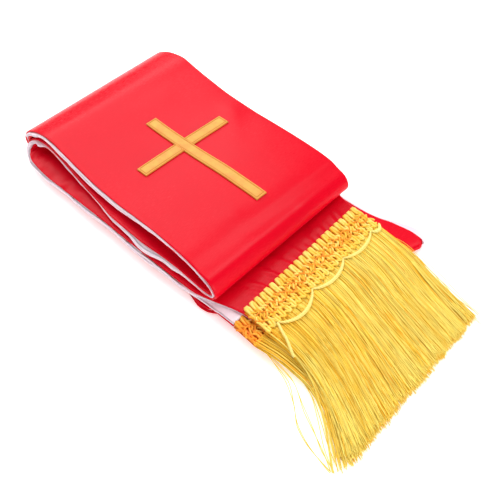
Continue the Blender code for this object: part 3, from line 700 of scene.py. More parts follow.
def cord_rings(path, radius, sides):
    """Rings of a round cord along a path."""
    path = np.asarray(path, float)
    ahead = unit(np.gradient(path, axis=0))
    up = np.array([0.0, 0.0, 1.0])
    side = np.cross(ahead, up)
    short = np.linalg.norm(side, axis=1) < 0.05
    side[short] = (0.0, 1.0, 0.0)
    side = unit(side)
    top = unit(np.cross(side, ahead))
    radius = np.broadcast_to(radius, len(path))
    rings = []
    for k in range(sides):
        angle = 2.0 * math.pi * k / sides
        rings.append(
            path + (side * math.cos(angle) + top * math.sin(angle)) * radius[:, None]
        )
    return np.stack(rings, axis=1)


def smooth_path(points, count):
    """A path through the points, evenly spread over its own length."""
    points = np.asarray(points, float)
    steps = np.linalg.norm(np.diff(points, axis=0), axis=1)
    along = np.concatenate([[0.0], np.cumsum(steps)])
    wanted = np.linspace(0.0, along[-1], count)
    return np.stack([steady_curve(along, column, wanted) for column in points.T], axis=1)


class Value:
    """A shader socket that takes part in Python arithmetic."""

    def __init__(self, finish, socket):
        self.finish = finish
        self.socket = socket

    def maths(self, operation, *values):
        sockets = dict(enumerate(values))
        return self.finish.node("ShaderNodeMath", {"operation": operation}, sockets)

    def __add__(self, other):
        return self.maths("ADD", self, other)

    def __sub__(self, other):
        return self.maths("SUBTRACT", self, other)

    def __rsub__(self, other):
        return self.maths("SUBTRACT", other, self)

    def __mul__(self, other):
        return self.maths("MULTIPLY", self, other)

    __radd__ = __add__
    __rmul__ = __mul__

    def sine(self):
        return self.maths("SINE", self)

    def within(self, low, high):
        """0 below low, 1 above high, smooth between."""
        sockets = {0: self, 1: low, 2: high}
        settings = {"interpolation_type": "SMOOTHSTEP"}
        return self.finish.node("ShaderNodeMapRange", settings, sockets)


class Finish:
    """One material: its Principled shader and the nodes that vary it."""

    def __init__(self, name, **constants):
        self.material = bpy.data.materials.new(name)
        self.material.use_nodes = True
        self.tree = self.material.node_tree
        self.shader = self.tree.nodes["Principled BSDF"]
        for socket, value in constants.items():
            self.shader.inputs[socket.replace("_", " ")].default_value = value

    def node(self, kind, settings, sockets, output=0):
        made = self.tree.nodes.new(kind)
        for key, value in settings.items():
            if key == "stops":
                self.set_stops(made.color_ramp, value)
            else:
                setattr(made, key, value)
        for key, value in sockets.items():
            if isinstance(value, Value):
                self.tree.links.new(value.socket, made.inputs[key])
            else:
                made.inputs[key].default_value = value
        return Value(self, made.outputs[output])

    def set_stops(self, ramp, stops):
        while len(ramp.elements) < len(stops):
            ramp.elements.new(0.5)
        for element, (place, colour) in zip(ramp.elements, stops):
            element.position = place
            element.color = (*colour, 1.0)

    def mix(self, share, first, second):
        first = first if isinstance(first, Value) else (*first, 1.0)
        second = second if isinstance(second, Value) else (*second, 1.0)
        return self.node(
            "ShaderNodeMix", {"data_type": "RGBA"}, {0: share, 6: first, 7: second}, 2
        )

    def uv(self):
        """The piece's own lengths in metres: around it and along it."""
        where = self.node("ShaderNodeUVMap", {"uv_map": "UVMap"}, {})
        apart = {"Vector": where}
        return [self.node("ShaderNodeSeparateXYZ", {}, apart, k) for k in (0, 1)]

    def place(self, u, v):
        return self.node("ShaderNodeCombineXYZ", {}, {"X": u, "Y": v})

    def noise(self, where, scale, detail=2.0):
        sockets = {"Vector": where, "Scale": scale, "Detail": detail}
        return self.node("ShaderNodeTexNoise", {}, sockets)

    def object_place(self):
        return self.node("ShaderNodeTexCoord", {}, {}, 3)

    def feed(self, socket, value):
        self.tree.links.new(value.socket, self.shader.inputs[socket])

    def bump(self, height, distance):
        sockets = {"Height": height, "Distance": distance}
        self.feed("Normal", self.node("ShaderNodeBump", {}, sockets))


def satin_finish(name, colour):
    """Satin: long floats across the strip, a soft gloss and slow changes of tone."""
    finish = Finish(name, Specular_IOR_Level=0.105)
    u, v = finish.uv()
    floats = finish.noise(finish.place(u * 260.0, v * 3400.0), 1.0, 1.0)
    cloudy = finish.noise(finish.object_place(), 14.0)
    deep = [channel * 0.94 for channel in colour]
    light = [min(1.0, channel * 1.03) for channel in colour]
    tone = (floats * 0.45 + cloudy * 0.55).within(0.3, 0.7)
    finish.feed("Base Color", finish.mix(tone, deep, light))
    finish.feed("Roughness", floats * 0.03 + cloudy * 0.03 + 0.24)
    finish.bump(floats, 0.00002)
    return finish.material


def lining_finish(name, colour):
    """Plain lining cloth: a fine square weave and soft shade."""
    finish = Finish(name, Specular_IOR_Level=0.3)
    u, v = finish.uv()
    weave = (u * (2.0 * math.pi / 0.0006)).sine() * (v * (2.0 * math.pi / 0.0006)).sine()
    cloudy = finish.noise(finish.object_place(), 60.0)
    shade = [channel * 0.92 for channel in colour[:2]] + [colour[2] * 0.96]
    finish.feed("Base Color", finish.mix(cloudy.within(0.35, 0.65), shade, colour))
    finish.feed("Roughness", cloudy * 0.2 + 0.42)
    finish.bump(weave * 0.5 + cloudy, 0.00008)
    return finish.material


def thread_finish(name, yarn, twist=0.0):
    """Silky yarn: a tone of its own for each strand, and a twist where it has one, with painted shade
    in the twist's grooves.
    """
    finish = Finish(name, Specular_IOR_Level=0.3)
    u, v = finish.uv()
    tone = finish.node("ShaderNodeAttribute", {"attribute_name": "tone"}, {}, 2)
    streaks = finish.noise(finish.place(u * 1100.0, v * 90.0), 1.0)
    stops = ((0.0, yarn.dark), (0.45, yarn.middle), (1.0, yarn.light))
    mixed = tone + streaks * 0.7 - 0.35
    colour = finish.node("ShaderNodeValToRGB", {"stops": stops}, {"Fac": mixed})
    finish.feed("Roughness", streaks * 0.15 + 0.4)
    if twist:
        plies = (v * (2.0 * math.pi / twist) + u * (2.0 * math.pi / twist)).sine()
        # Darker towards the dark yarn in the grooves between the plies: painted shade.
        finish.feed("Base Color", finish.mix((plies * 0.5 + 0.5) * 0.22, colour, yarn.dark))
        finish.bump(plies * 0.7 + streaks * 0.3, 0.00012)
    else:
        finish.feed("Base Color", colour)
    return finish.material


def applique_finish(name, body, border, light):
    """Woven gold appliqué with a stitched border line."""
    finish = Finish(name, Specular_IOR_Level=0.3)
    u, v = finish.uv()
    edge = finish.node("ShaderNodeAttribute", {"attribute_name": "tone"}, {}, 2)
    weave = (u * (2.0 * math.pi / 0.0009)).sine() * (v * (2.0 * math.pi / 0.0009)).sine()
    grain = finish.noise(finish.object_place(), 700.0)
    patches = finish.noise(finish.object_place(), 150.0)
    ground = finish.mix((patches * 0.6 + grain * 0.4).within(0.35, 0.68), body, light)
    finish.feed("Base Color", finish.mix(edge, ground, border))
    finish.feed("Roughness", grain * 0.2 + 0.45)
    finish.bump(weave * 0.35 + grain, 0.00014)
    return finish.material


Yarn = namedtuple("Yarn", "dark middle light")
UPPER_BRAID_YARN = Yarn((0.80, 0.26, 0.01), (1.0, 0.60, 0.05), (1.0, 0.84, 0.22))
# Orange yarn: the zigzag cords' own colour, and on the lower braid painted shade, as that braid lies
# under the upper one.
ZIGZAG_AND_SHADED_BRAID_YARN = Yarn((0.75, 0.15, 0.008), (1.0, 0.34, 0.018), (1.0, 0.62, 0.08))
SWAG_YARN = Yarn((0.95, 0.60, 0.08), (1.0, 0.82, 0.22), (1.0, 0.92, 0.36))
SWAG_TWIST = 0.0018
FRINGE_DARK = (0.95, 0.42, 0.012)
FRINGE_LIGHT = (1.0, 0.80, 0.17)
CROSS_BORDER = (0.60, 0.21, 0.02)
CROSS_LIGHT = (0.84, 0.46, 0.09)


class StoleSizes(bpy.types.PropertyGroup):
    upper_strands: IntProperty(
        name="Upper strands", description="Fine strands of the upper fringe", default=2200
    )
    lower_strands: IntProperty(
        name="Lower strands", description="Fine strands of the lower fringe", default=800
    )
    strand_radius: FloatProperty(
        name="Strand radius", description="Radius of one fine strand", default=0.00026, unit="LENGTH"
    )
    satin_wall: FloatProperty(
        name="Satin wall", description="Thickness of the satin panels", default=0.0009, unit="LENGTH"
    )
    braid_radius: FloatProperty(
        name="Braid cord radius", description="Radius of the headings' cords", default=0.00092,
        unit="LENGTH",
    )


class StoleColours(bpy.types.PropertyGroup):
    satin: FloatVectorProperty(
        name="Satin", description="Red of the satin", subtype="COLOR", default=(0.75, 0.0015, 0.016)
    )
    # The lining's own lavender white, made pinker and brighter as painted red bounce from the satin
    # and painted light on its shaded sides.
    lining: FloatVectorProperty(
        name="Lining", description="White of the lining", subtype="COLOR", default=(0.99, 0.82, 0.88)
    )
    gold: FloatVectorProperty(
        name="Gold", description="Yellow of the fringe", subtype="COLOR", default=(1.0, 0.63, 0.045)
    )
    cross: FloatVectorProperty(
        name="Cross", description="Gold of the cross", subtype="COLOR", default=(0.85, 0.36, 0.075)
    )


def heading_edges(gathers):
    """y of a heading's left and right edge."""
    return PATH[-1].y_left + gathers[0], PATH[-1].y_left + STRIP_WIDTH - gathers[1]


def heading_place(share, v, offset, gathers):
    """A point on a heading: share down its length, v from 0 at the left to 1 at the right."""
    x = HEADING_TOP + HEADING_SKEW * v + HEADING_LENGTH * share
    left, right = heading_edges(gathers)
    y = left + (right - left) * v
    z = PATH[LOWER_END].z_left - HEADING_FALL * share + offset
    return (x, y, z)


def add_band(weaver, heading):
    """The woven ground of a heading, in the yarn's darkest tone: painted shade in the gaps between
    the loops.
    """
    shares = (heading.start, 0.3, 0.65, 1.0)
    high = heading.base - BAND_DEPTH
    rings = []
    for v in np.linspace(0.0, 1.0, BAND_SECTIONS):
        top = [heading_place(share, v, high, heading.gathers) for share in shares]
        bottom = [heading_place(share, v, heading.low, heading.gathers) for share in reversed(shares)]
        rings.append(top + bottom)
    # Tone 0, the darkest: painted shade where the ground shows between the loops.
    weaver.add(np.array(rings), 0.0)


def add_loops(weaver, heading, radius, draw):
    """Closed loops of cord side by side, each standing up past the heading's upper edge."""
    gathers = heading.gathers
    left, right = heading_edges(gathers)
    width = right - left
    pitch = width / HEADING_LOOPS
    half = pitch * LOOP_HALF
    for k in range(HEADING_LOOPS):
        middle = left + pitch * (k + 0.5)
        lean = 1.1 + 0.5 * draw.uniform(-1.0, 1.0)
        depth = heading.reach * draw.uniform(0.75, 1.1)
        own_tone = heading.low_tone + draw.uniform(0.0, 0.3)

        def loop_point(share, away, past, lift):
            """A place on this loop and its tone: dimmed in diamonds, speckled, and paler at the tip
            as a painted highlight.
            """
            y = middle + away - lean * (share - 0.5) + 0.16 * math.sin(share * 9.0 + k * 1.3)
            x, y, z = heading_place(share, (y - left) / width, heading.base + lift, gathers)
            diamond = abs(share - 0.5) / 0.24 + abs((k + away / pitch + 0.5) / 2.0 % 1.0 - 0.5) * 2.6
            dimmed = 0.30 * min(max(1.5 - diamond, 0.0), 1.0)
            # The loop's tip paler: a painted highlight on its top.
            tip = 0.12 * max(0.0, 1.0 - share / 0.14)
            speckled = 0.16 * math.sin(share * 17.0 + k * 2.4 + away * 1.9)
            return (x + past, y, z, min(max(own_tone - dimmed + tip + speckled, 0.0), 1.0))

        path = [loop_point(1.0, 0.0, 0.9, -0.3), loop_point(0.97, -half, 0.6, -0.1)]
        path += [
            loop_point(share, -half, 0.0, LOOP_WAVE * math.sin(share * 12.0 + k * math.pi))
            for share in (0.8, 0.55, 0.3, 0.08)
        ]
        for angle in (35.0, 70.0, 110.0, 145.0):
            turn = math.radians(angle)
            path.append(loop_point(0.0, -half * math.cos(turn), -depth * math.sin(turn), -0.1))
        path += [
            loop_point(share, half, 0.0, LOOP_WAVE * math.sin(share * 12.0 + (k + 0.5) * math.pi))
            for share in (0.08, 0.3, 0.55, 0.8)
        ]
        path += [loop_point(0.97, half, 0.6, -0.1), loop_point(1.0, 0.1, 0.9, -0.35)]
        smooth = smooth_path(path, LOOP_POINTS)
        from_tip = np.arange(LOOP_POINTS) - (LOOP_POINTS - 1) / 2.0
        plump = 1.0 + 0.5 * np.exp(-((from_tip / 2.4) ** 2))
        weaver.add(cord_rings(smooth[:, :3], radius * plump, 7), smooth[:, 3])


def add_zigzag(weaver, heading, phase, draw):
    """A thin cord that runs to and fro along the heading."""
    low, high = ZIGZAG_SHARES
    base = heading.base + ZIGZAG_RISE
    points = []
    for turn in range(ZIGZAG_TURNS):
        reach = draw.uniform(0.75, 1.15)
        for step in range(ZIGZAG_STEPS):
            along = (turn + step / ZIGZAG_STEPS) / ZIGZAG_TURNS
            angle = math.pi * (along * ZIGZAG_TURNS + phase)
            swing = math.sin(angle)
            swing = math.copysign(abs(swing) ** 0.8, swing) * reach
            share = (low + high) / 2.0 + (high - low) / 2.0 * swing
            lift = base + 0.2 * math.cos(angle)
            along += draw.uniform(-0.003, 0.003)
            points.append(heading_place(share, along, lift, heading.gathers))
    weaver.add(cord_rings(smooth_path(points, ZIGZAG_TURNS * 12), ZIGZAG_RADIUS, 6), 0.4)


def add_stitches(weaver, heading, radius, draw):
    """Short slanting stitches over the ribs, leaning to and fro."""
    for k in range(STITCHES):
        row = STITCH_ROWS[k % len(STITCH_ROWS)]
        along = (k + 0.5) / STITCHES + draw.uniform(-0.004, 0.004)
        middle = row.share + draw.uniform(-0.05, 0.05)
        slant = row.slant * draw.uniform(0.6, 1.3)
        reach = draw.uniform(0.05, 0.10)
        path = []
        for step in (-1.0, -0.5, 0.0, 0.5, 1.0):
            lift = heading.base + 0.95 - 0.55 * step * step
            path.append(
                heading_place(middle + reach * step, along + slant * step, lift, heading.gathers)
            )
        weaver.add(cord_rings(smooth_path(path, 7), radius, 5), draw.uniform(0.2, 1.0))


def add_edge_beads(weaver, heading, radius):
    """The row of small loops along the heading's lower edge."""
    points = []
    steps = HEADING_LOOPS * 8
    for k in range(steps + 1):
        along = k / steps
        angle = 2.0 * math.pi * along * HEADING_LOOPS
        share = 0.97 + 0.04 * math.sin(angle)
        lift = heading.base + 0.45 * math.cos(angle)
        points.append(heading_place(share, along, lift, heading.gathers))
    weaver.add(cord_rings(points, radius * 0.75, 7), 0.55)


def neck_edge_at(y):
    """x of the neck fold under a strand that leaves its heading at y."""
    last = NECK[-1]
    share = (y - last.y_left) / (last.y_right - last.y_left)
    return last.x_left + (last.x_right - last.x_left) * share


def soft_corner(share_along, bend):
    """Next to nothing before the bend and a straight slope after it."""
    past = share_along - bend
    return (past + np.sqrt(past**2 + BEND_SOFTNESS**2)) / 2.0


def bent(share_along, bend):
    """How much of its sweep a strand has made: straight at first, then slanting after the bend."""
    start = soft_corner(0.0, bend)
    return (soft_corner(share_along, bend) - start) / (soft_corner(1.0, bend) - start)


def strand_tone_with_painted_shade(share, share_along, layer, clump, at_left, draw):
    """The tone along a strand, with painted shade and painted light: deep strands darker as painted
    shade between the strands, left roots orange as painted shade under the fringe above, the frayed
    left edge and the tips lighter as painted light against their shade, a little lighter to the
    right, and clumps and a few strands all orange at random.
    """
    # Deeper layers darker: painted shade between the strands; the frayed left edge lighter: painted
    # light against its shade.
    tone = 0.40 + 0.12 * at_left + 0.42 * layer + 0.12 * clump / 3.0 + 0.08 * share
    tone += draw.gauss(0.0, 0.16)
    if draw.random() < ORANGE_STRANDS:
        tone -= 0.5
    # Left roots darkened to orange: painted shade under the heading and fringe above.
    painted_root_shade = 0.6 * np.clip(1.0 - share_along / 0.4, 0.0, 1.0) * max(0.0, 1.0 - share * 5.0)
    # Tips lighter: painted light against the shade at the ends.
    return np.clip(tone - painted_root_shade + 0.12 * share_along**3, 0.0, 1.0)


def add_strands(weaver, fringe, count, radius, draw):
    """Fine strands that leave the heading straight, drop past the neck fold and sweep aside."""
    left = np.array(heading_place(1.0, 0.0, 0.0, fringe.gathers))
    right = np.array(heading_place(1.0, 1.0, 0.0, fringe.gathers))
    for k in range(count):
        share = (k + draw.uniform(0.0, 1.0)) / count
        filler = k % FILLER_EVERY == 0
        layer = draw.random() * (FILLER_TOP if filler else 1.0)
        clump = ripple(share * 100.0, 3.4, 2.0) * 1.5 + ripple(share * 100.0, 11.0, 5.0) * 2.0
        at_left = max(0.0, 1.0 - share * FRAYED_EDGES)
        at_right = max(0.0, 1.0 - (1.0 - share) * FRAYED_EDGES)
        sweep, bend, drawn_in = [a + (b - a) * share for a, b in fringe[1:4]]
        stray = draw.gauss(0.0, STRAY + STRAY_LEFT * at_left)
        sweep += clump * min(1.0, share * 6.0) + max(-STRAY_MOST, min(STRAY_MOST, stray))
        sweep += abs(draw.gauss(0.0, STRAY_RIGHT)) * at_right
        bend += draw.gauss(0.0, 0.05) + 0.05 * ripple(share * 100.0, 6.0, 9.0)
        drawn_in *= max(0.0, 1.0 - share * 2.0)
        length = STRAND_LENGTH + draw.gauss(0.0, 0.8) + 1.1 * ripple(share * 100.0, 1.3, 4.0)
        length -= FILLER_SHORTER * filler + LAYER_SHORTER * layer
        root = left + (right - left) * share
        reach = math.sqrt(max(length * length - sweep * sweep, 1.0))
        level = max(SHORTEST_LEVEL_RUN, neck_edge_at(root[1]) + NECK_CLEARANCE - root[0])
        runs = (-STRAND_INSIDE, level, level + STRAND_FALL, reach)
        levels = [low + (high - low) * layer for low, high in fringe[4:8]]
        levels[3] += draw.uniform(-0.3, 0.5)
        along = np.append(np.linspace(-STRAND_INSIDE, reach - STRAND_TIP, STRAND_POINTS), reach)
        height = steady_curve(runs, levels, along)
        share_along = np.clip(along / reach, 0.0, 1.0)
        wave = draw.uniform(0.2, 1.1) * np.sin(
            share_along * draw.uniform(4.0, 9.0) + draw.uniform(0.0, 6.3)
        ) * share_along
        lift = 0.35 * draw.uniform(-1.0, 1.0) * np.sin(share_along * math.pi * 2.0)
        flick = draw.uniform(-1.0, 1.6) * share_along**6
        aside = sweep * bent(share_along, bend) + drawn_in * np.sin(share_along * math.pi)
        own_radius = radius * (FILLER_THICKNESS if filler else 1.0)
        z = np.maximum(height + lift, own_radius * 1.1)
        path = np.stack([root[0] + along, root[1] + aside + wave + flick, z], axis=1)
        thick = own_radius * np.where(share_along > 0.999, 0.7, 1.0)
        shade = strand_tone_with_painted_shade(share, share_along, layer, clump, at_left, draw)
        weaver.add(cord_rings(path, thick, STRAND_SIDES), shade)


class StoleOperator:
    """What every piece's operator has in common."""

    bl_options = {"REGISTER"}

    def execute(self, context):
        self.make(context.scene.stole_sizes, context.scene.stole_colours)
        return {"FINISHED"}


class STOLE_OT_satin(StoleOperator, bpy.types.Operator):
    """Weave both satin panels along the folded path"""

    bl_idname = "stole.satin"
    bl_label = "Satin panels"

    def make(self, sizes, colours):
        red = satin_finish("red_satin_cloth", colours.satin)
        for name, node, side, end_row, gathers, creases in (
            ("upper_satin", "upper_half_panel", 1.0, UPPER_END, UPPER_GATHER, UPPER_CREASES),
            ("lower_satin", "lower_half_panel", -1.0, LOWER_END, LOWER_GATHER, LOWER_CREASES),
        ):
            cloth, lining = STRIP.surface(end_row, gathers, SATIN_COLUMNS)
            near, far = STRIP.panel_offsets(cloth, lining, creases, sizes.satin_wall / MM)
            weaver = Weaver()
            weaver.add(cloth.wall(near, far) if side > 0 else cloth.wall(-far, -near))
            piece = weaver.object(name, red, [node])
            length = STRIP.row_along[end_row] * MM


class STOLE_OT_linings(StoleOperator, bpy.types.Operator):
    """Lay both linings between the satin panels, puffed out at their edges"""

    bl_idname = "stole.linings"
    bl_label = "Linings"

    def make(self, sizes, colours):
        white = lining_finish("white_lining_cloth", colours.lining)
        for name, node, side, end_row, gathers, seed in (
            ("upper_lining", "upper_half_lining", 1.0, UPPER_END, UPPER_GATHER, 1.0),
            ("lower_lining", "lower_half_lining", -1.0, LOWER_END, LOWER_GATHER, 2.0),
        ):
            cloth, lining = STRIP.surface(end_row, gathers, EDGE_COLUMNS)
            cloth = STRIP.puffed(cloth, seed)
            near = np.full((len(lining), 1), LINING_APART)
            far = near + STRIP.shown(cloth, lining)[:, None]
            weaver = Weaver()
            weaver.add(cloth.wall(near, far) if side > 0 else cloth.wall(-far, -near))
            piece = weaver.object(name, white, [node])
            length = STRIP.row_along[end_row] * MM


def neck_surface(proud, corner):
    """The neck stretch as one surface: out along the bottom, round the fold and back on top.

    Both sides stand out by their share of proud, and the right one also by corner at the fold.
    """
    table = np.array(NECK, float)
    steps = np.linalg.norm(np.diff(table[:, 0:2] + table[:, 2:4], axis=0), axis=1) / 2.0
    along = np.concatenate([[0.0], np.cumsum(steps)])
    spread = np.concatenate([
        np.linspace(0.0, along[NECK_WIDENS], 50)[:-1],
        np.linspace(along[NECK_WIDENS], along[-1], 34),
    ])
    x_left, y_left, x_right, y_right, bottom, top = [
        steady_curve(along, column, spread) for column in table.T
    ]
    near_corner = np.exp(-(((spread - along[NECK_CORNER]) / CORNER_SPREAD) ** 2))
    y_left = y_left - proud[0]
    y_right = y_right + proud[1] + corner * near_corner
    v = EDGE_COLUMNS[None, :]
    rows = []
    for level, order in ((bottom, 1), (top, -1)):
        x = x_left[:, None] + (x_right - x_left)[:, None] * v
        y = y_left[:, None] + (y_right - y_left)[:, None] * v
        z = np.broadcast_to(level[:, None], x.shape)
        rows.append(np.stack([x, y, z], axis=-1)[::order])
    points = np.concatenate(rows, axis=0)
    return Cloth(points, np.arange(len(points)), EDGE_COLUMNS)


class STOLE_OT_neck(StoleOperator, bpy.types.Operator):
    """Fold the stretch at the neck under the bundle"""

    bl_idname = "stole.neck"
    bl_label = "Neck stretch"

    def make(self, sizes, colours):
        red = satin_finish("neck_satin_cloth", colours.satin)
        white = lining_finish("neck_lining_cloth", colours.lining)
        flat = (STRIP_WIDTH * MM, 2.0 * (NECK[-1].x_left - NECK[0].x_left) * MM)
        lining_low = NECK_WALL + NECK_LINING_CLEAR
        for name, material, slot, low, high, proud, corner, nodes in (
            ("neck_satin", red, "red_satin", 0.0, NECK_WALL, (0.0, 0.0), -3.0, ["neck_stretch"]),
            (
                "neck_lining", white, "white_lining", lining_low, lining_low + NECK_LINING_WALL,
                (-1.6, 2.2), 0.0, [],
            ),
        ):
            cloth = neck_surface(proud, corner)
            weaver = Weaver()
            weaver.add(cloth.wall(low, high))
            piece = weaver.object(name, material, nodes)


def top_face():
    """The satin's outer face where it lies on top and carries the cross."""
    cloth, lining = STRIP.surface(UPPER_END, UPPER_GATHER, SATIN_COLUMNS)
    far = STRIP.panel_offsets(cloth, lining, UPPER_CREASES, PANEL_WALL)[1]
    first, last = (np.searchsorted(cloth.along, STRIP.place(row)) for row in CROSS_ROWS)
    return cloth.moved(far)[first:last]


class STOLE_OT_cross(StoleOperator, bpy.types.Operator):
    """Sew the cross on the top layer"""

    bl_idname = "stole.cross"
    bl_label = "Cross"

    def make(self, sizes, colours):
        gold = applique_finish("gold_applique_cloth", colours.cross, CROSS_BORDER, CROSS_LIGHT)
        surface = top_face()
        clear = CROSS_BAR / 2.0 + CROSS_CLEAR
        for name, node, start, end, free_ends in (
            ("cross_upright_cloth", "cross_upright", (-CROSS_HEAD, 0.0), (CROSS_FOOT, 0.0),
             (True, True)),
            ("cross_left_arm_cloth", "cross_arm_left", (0.0, -CROSS_ARM), (0.0, -clear),
             (True, False)),
            ("cross_right_arm_cloth", "cross_arm_right", (0.0, clear), (0.0, CROSS_ARM),
             (False, True)),
        ):
            weaver = Weaver()
            self.add_bar(weaver, surface, np.array(start), np.array(end), free_ends)
            weaver.object(name, gold, [node])

    def height_at(self, surface, x, y):
        """Height of the top face over a place."""
        column = (y - surface[0, 0, 1]) / (surface[0, -1, 1] - surface[0, 0, 1])
        column = column * (surface.shape[1] - 1)
        j = int(min(max(column, 0), surface.shape[1] - 2))
        mixed = surface[:, j] * (j + 1 - column) + surface[:, j + 1] * (column - j)
        return float(np.interp(x, mixed[:, 0], mixed[:, 2]))

    def add_bar(self, weaver, surface, start, end, free_ends):
        """One bar of the cross, which has a border at its sides and at its free ends."""
        length = float(np.linalg.norm(end - start))
        ahead = (end - start) / length
        across = np.array([-ahead[1], ahead[0]])
        turn = np.array([
            [math.cos(CROSS_TURN), -math.sin(CROSS_TURN)],
            [math.sin(CROSS_TURN), math.cos(CROSS_TURN)],
        ])
        distances, heights, borders = (np.array(column) for column in zip(*CROSS_PROFILE))
        sides = np.concatenate([distances, CROSS_BAR - distances[-2::-1]])
        middle = np.arange(distances[-1], length - distances[-1], CROSS_STEP)
        stations = np.concatenate([distances[:-1], middle, length - distances[::-1]])
        rings = []
        tones = []
        for s in stations:
            top = []
            bottom = []
            tone = []
            for w in sides:
                inside = min(w, CROSS_BAR - w)
                if free_ends[0]:
                    inside = min(inside, s)
                if free_ends[1]:
                    inside = min(inside, length - s)
                own = start + ahead * s + across * (w - CROSS_BAR / 2.0)
                x, y = turn @ own + np.array(CROSS_MIDDLE)
                ground = self.height_at(surface, x, y)
                top.append((x, y, ground + SEAM_GAP + float(np.interp(inside, distances, heights))))
                bottom.append((x, y, ground + CROSS_UNDERSIDE))
                tone.append(float(np.interp(inside, distances, borders)))
            rings.append(top + bottom[::-1])
            tones.append(tone + [0.0] * len(tone))
        weaver.add(np.array(rings), np.array(tones))


class STOLE_OT_headings(StoleOperator, bpy.types.Operator):
    """Braid the two headings"""

    bl_idname = "stole.headings"
    bl_label = "Headings"

    def make(self, sizes, colours):
        yellow = thread_finish("gold_braid_yarn", UPPER_BRAID_YARN)
        # The lower braid takes the orange yarn as painted shade; the zigzags take it as their own
        # colour.
        orange = thread_finish("orange_zigzag_and_shaded_braid_yarn", ZIGZAG_AND_SHADED_BRAID_YARN)
        draw = random.Random(BRAID_SEED)
        radius = sizes.braid_radius / MM
        for name, node, heading, yarn in (
            ("upper_braid", "upper_heading", UPPER_HEADING, yellow),
            ("lower_braid", "lower_heading", LOWER_HEADING, orange),
        ):
            weaver = Weaver()
            add_band(weaver, heading)
            add_loops(weaver, heading, radius, draw)
            add_stitches(weaver, heading, radius * STITCH_THICKNESS, draw)
            add_edge_beads(weaver, heading, radius)
            weaver.object(name, yarn, [node])
            weaver = Weaver()
            for phase in (0.0, 1.0):
                add_zigzag(weaver, heading, phase, draw)
            weaver.object(name + "_zigzag", orange)


class STOLE_OT_fringes(StoleOperator, bpy.types.Operator):
    """Hang the fine strands of both fringes"""

    bl_idname = "stole.fringes"
    bl_label = "Fringes"

    def make(self, sizes, colours):
        yarn = Yarn(FRINGE_DARK, colours.gold, FRINGE_LIGHT)
        gold = thread_finish("gold_fringe_yarn", yarn)
        draw = random.Random(FRINGE_SEED)
        radius = sizes.strand_radius / MM
        for name, node, fringe, count in (
            ("upper_strands", "upper_fringe", UPPER_FRINGE, sizes.upper_strands),
            ("lower_strands", "lower_fringe", LOWER_FRINGE, sizes.lower_strands),
        ):
            weaver = Weaver()
            add_strands(weaver, fringe, count, radius, draw)
            weaver.object(name, gold, [node])
        weaver = Weaver()
        self.add_loose_threads(weaver)
        weaver.object("loose_threads", gold)

    def add_loose_threads(self, weaver):
        """Single threads that have come away beside the fringe."""
        for k, points in enumerate(LOOSE_THREADS):
            at_right = points[0][1] > 0.0
            heights = list(LOOSE_RIGHT_HEIGHTS if at_right else LOOSE_LEFT_HEIGHTS)
            if not at_right:
                heights[1] -= 0.2 * (k % 3)
            path = [(x, y, z) for (x, y), z in zip(points, heights)]
            weaver.add(cord_rings(smooth_path(path, 30), LOOSE_RADIUS, 4), 0.45 + 0.08 * (k % 5))


class STOLE_OT_swags(StoleOperator, bpy.types.Operator):
    """Hang the cord in swags over the top of the fringe"""

    bl_idname = "stole.swags"
    bl_label = "Swag cord"

    def make(self, sizes, colours):
        pale = thread_finish("pale_cord_yarn", SWAG_YARN, SWAG_TWIST)
        left, right = heading_edges(UPPER_GATHER)
        weaver = Weaver()
        for k, (first, second) in enumerate(zip(SWAGS, SWAGS[1:])):
            path = []
            for share in np.linspace(0.0, 1.0, 15):
                y = first.y + (second.y - first.y) * share
                x = heading_place(1.0, (y - left) / (right - left), 0.0, UPPER_GATHER)[0]
                drop = first.depth * math.sin(math.pi * share) ** 0.75
                path.append((x + 0.4 + drop, y, SWAG_LEVEL - 0.2 * math.sin(math.pi * share)))
            radius = SWAG_THIN + SWAG_FULL * np.sin(np.linspace(0.0, math.pi, 40)) ** 0.6
            weaver.add(cord_rings(smooth_path(path, 40), radius, 8), 0.55 + 0.1 * (k % 2))
        weaver.add(cord_rings(smooth_path(SWAG_TAIL, 26), SWAG_TAIL_RADIUS, 8), 0.6)
        weaver.object("swag_cord_yarn", pale, ["swag_cord"])


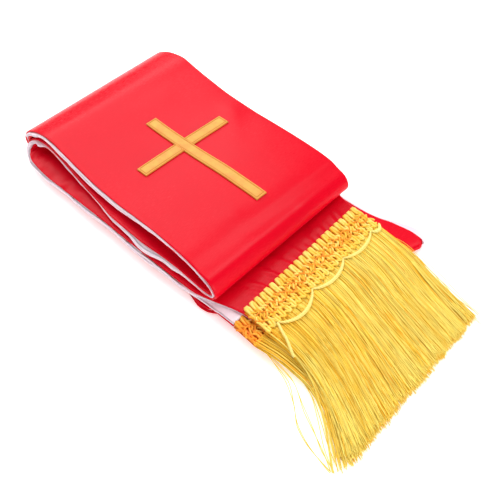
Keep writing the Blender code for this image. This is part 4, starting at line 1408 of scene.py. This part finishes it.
class STOLE_OT_stage(StoleOperator, bpy.types.Operator):
    """Set up the floor, the lights and the camera"""

    bl_idname = "stole.stage"
    bl_label = "Stage"

    def make(self, sizes, colours):
        self.make_floor()
        self.make_lights()
        self.make_camera()
        bpy.context.scene.view_settings.view_transform = "Standard"

    def make_floor(self):
        finish = Finish(
            "floor_paper", Specular_IOR_Level=0.1, Emission_Color=(1.0, 1.0, 1.0, 1.0),
            Emission_Strength=FLOOR_GLOW,
        )
        grain = finish.noise(finish.object_place(), 30.0)
        finish.feed("Base Color", finish.mix(grain, (0.93, 0.93, 0.93), (0.95, 0.95, 0.95)))
        finish.feed("Roughness", grain * 0.1 + 0.8)
        mesh = bpy.data.meshes.new("floor")
        bm = bmesh.new()
        bmesh.ops.create_grid(bm, x_segments=8, y_segments=8, size=FLOOR_REACH)
        bmesh.ops.translate(bm, verts=bm.verts, vec=(0.0, 0.0, FLOOR_LEVEL))
        bm.to_mesh(mesh)
        bm.free()
        mesh.materials.append(finish.material)
        floor = bpy.data.objects.new("floor", mesh)
        bpy.context.scene.collection.objects.link(floor)

    def make_lights(self):
        world = bpy.data.worlds.new("studio")
        bpy.context.scene.world = world
        world.use_nodes = True
        background = world.node_tree.nodes["Background"]
        background.inputs["Color"].default_value = (1.0, 1.0, 1.0, 1.0)
        background.inputs["Strength"].default_value = WORLD_LIGHT
        for lamp in LAMPS:
            light = bpy.data.lights.new(lamp.name, "AREA")
            light.shape = "RECTANGLE"
            light.size = lamp.size
            light.size_y = lamp.size_y
            light.energy = lamp.power
            holder = bpy.data.objects.new(lamp.name, light)
            bpy.context.scene.collection.objects.link(holder)
            holder.location = lamp.place
            holder.rotation_mode = "QUATERNION"
            holder.rotation_quaternion = (-Vector(lamp.place)).to_track_quat("-Z", "Y")

    def make_camera(self):
        data = bpy.data.cameras.new("camera")
        data.lens = LENS
        data.sensor_width = SENSOR
        data.clip_start = 0.01
        camera = bpy.data.objects.new("camera", data)
        bpy.context.scene.collection.objects.link(camera)
        azimuth, elevation = CAMERA_AZIMUTH, CAMERA_ELEVATION
        back = Vector((
            math.sin(azimuth) * math.cos(elevation),
            -math.cos(azimuth) * math.cos(elevation),
            math.sin(elevation),
        ))
        right = Vector((math.cos(azimuth), math.sin(azimuth), 0.0))
        turn = Matrix((right, back.cross(right), back)).transposed().to_4x4()
        turn.translation = Vector(to_metres(CAMERA_PLACE))
        camera.matrix_world = turn
        bpy.context.scene.camera = camera


OPERATORS = (
    STOLE_OT_stage,
    STOLE_OT_neck,
    STOLE_OT_linings,
    STOLE_OT_satin,
    STOLE_OT_cross,
    STOLE_OT_headings,
    STOLE_OT_fringes,
    STOLE_OT_swags,
)


class STOLE_PT_pieces(bpy.types.Panel):
    """The stole's pieces and their sizes and colours"""

    bl_idname = "STOLE_PT_pieces"
    bl_label = "Stole"
    bl_space_type = "VIEW_3D"
    bl_region_type = "UI"
    bl_category = "Stole"

    def draw(self, context):
        for group in (context.scene.stole_sizes, context.scene.stole_colours):
            for name in group.__annotations__:
                self.layout.prop(group, name)
        for operator in OPERATORS:
            self.layout.operator(operator.bl_idname)


CLASSES = (StoleSizes, StoleColours, *OPERATORS, STOLE_PT_pieces)


def register():
    for item in CLASSES:
        bpy.utils.register_class(item)
    bpy.types.Scene.stole_sizes = PointerProperty(type=StoleSizes)
    bpy.types.Scene.stole_colours = PointerProperty(type=StoleColours)


def unregister():
    del bpy.types.Scene.stole_sizes
    del bpy.types.Scene.stole_colours
    for item in reversed(CLASSES):
        bpy.utils.unregister_class(item)


def main():
    register()
    bpy.ops.stole.stage()
    bpy.ops.stole.neck()
    bpy.ops.stole.linings()
    bpy.ops.stole.satin()
    bpy.ops.stole.cross()
    bpy.ops.stole.headings()
    bpy.ops.stole.fringes()
    bpy.ops.stole.swags()


if __name__ == "__main__":
    main()
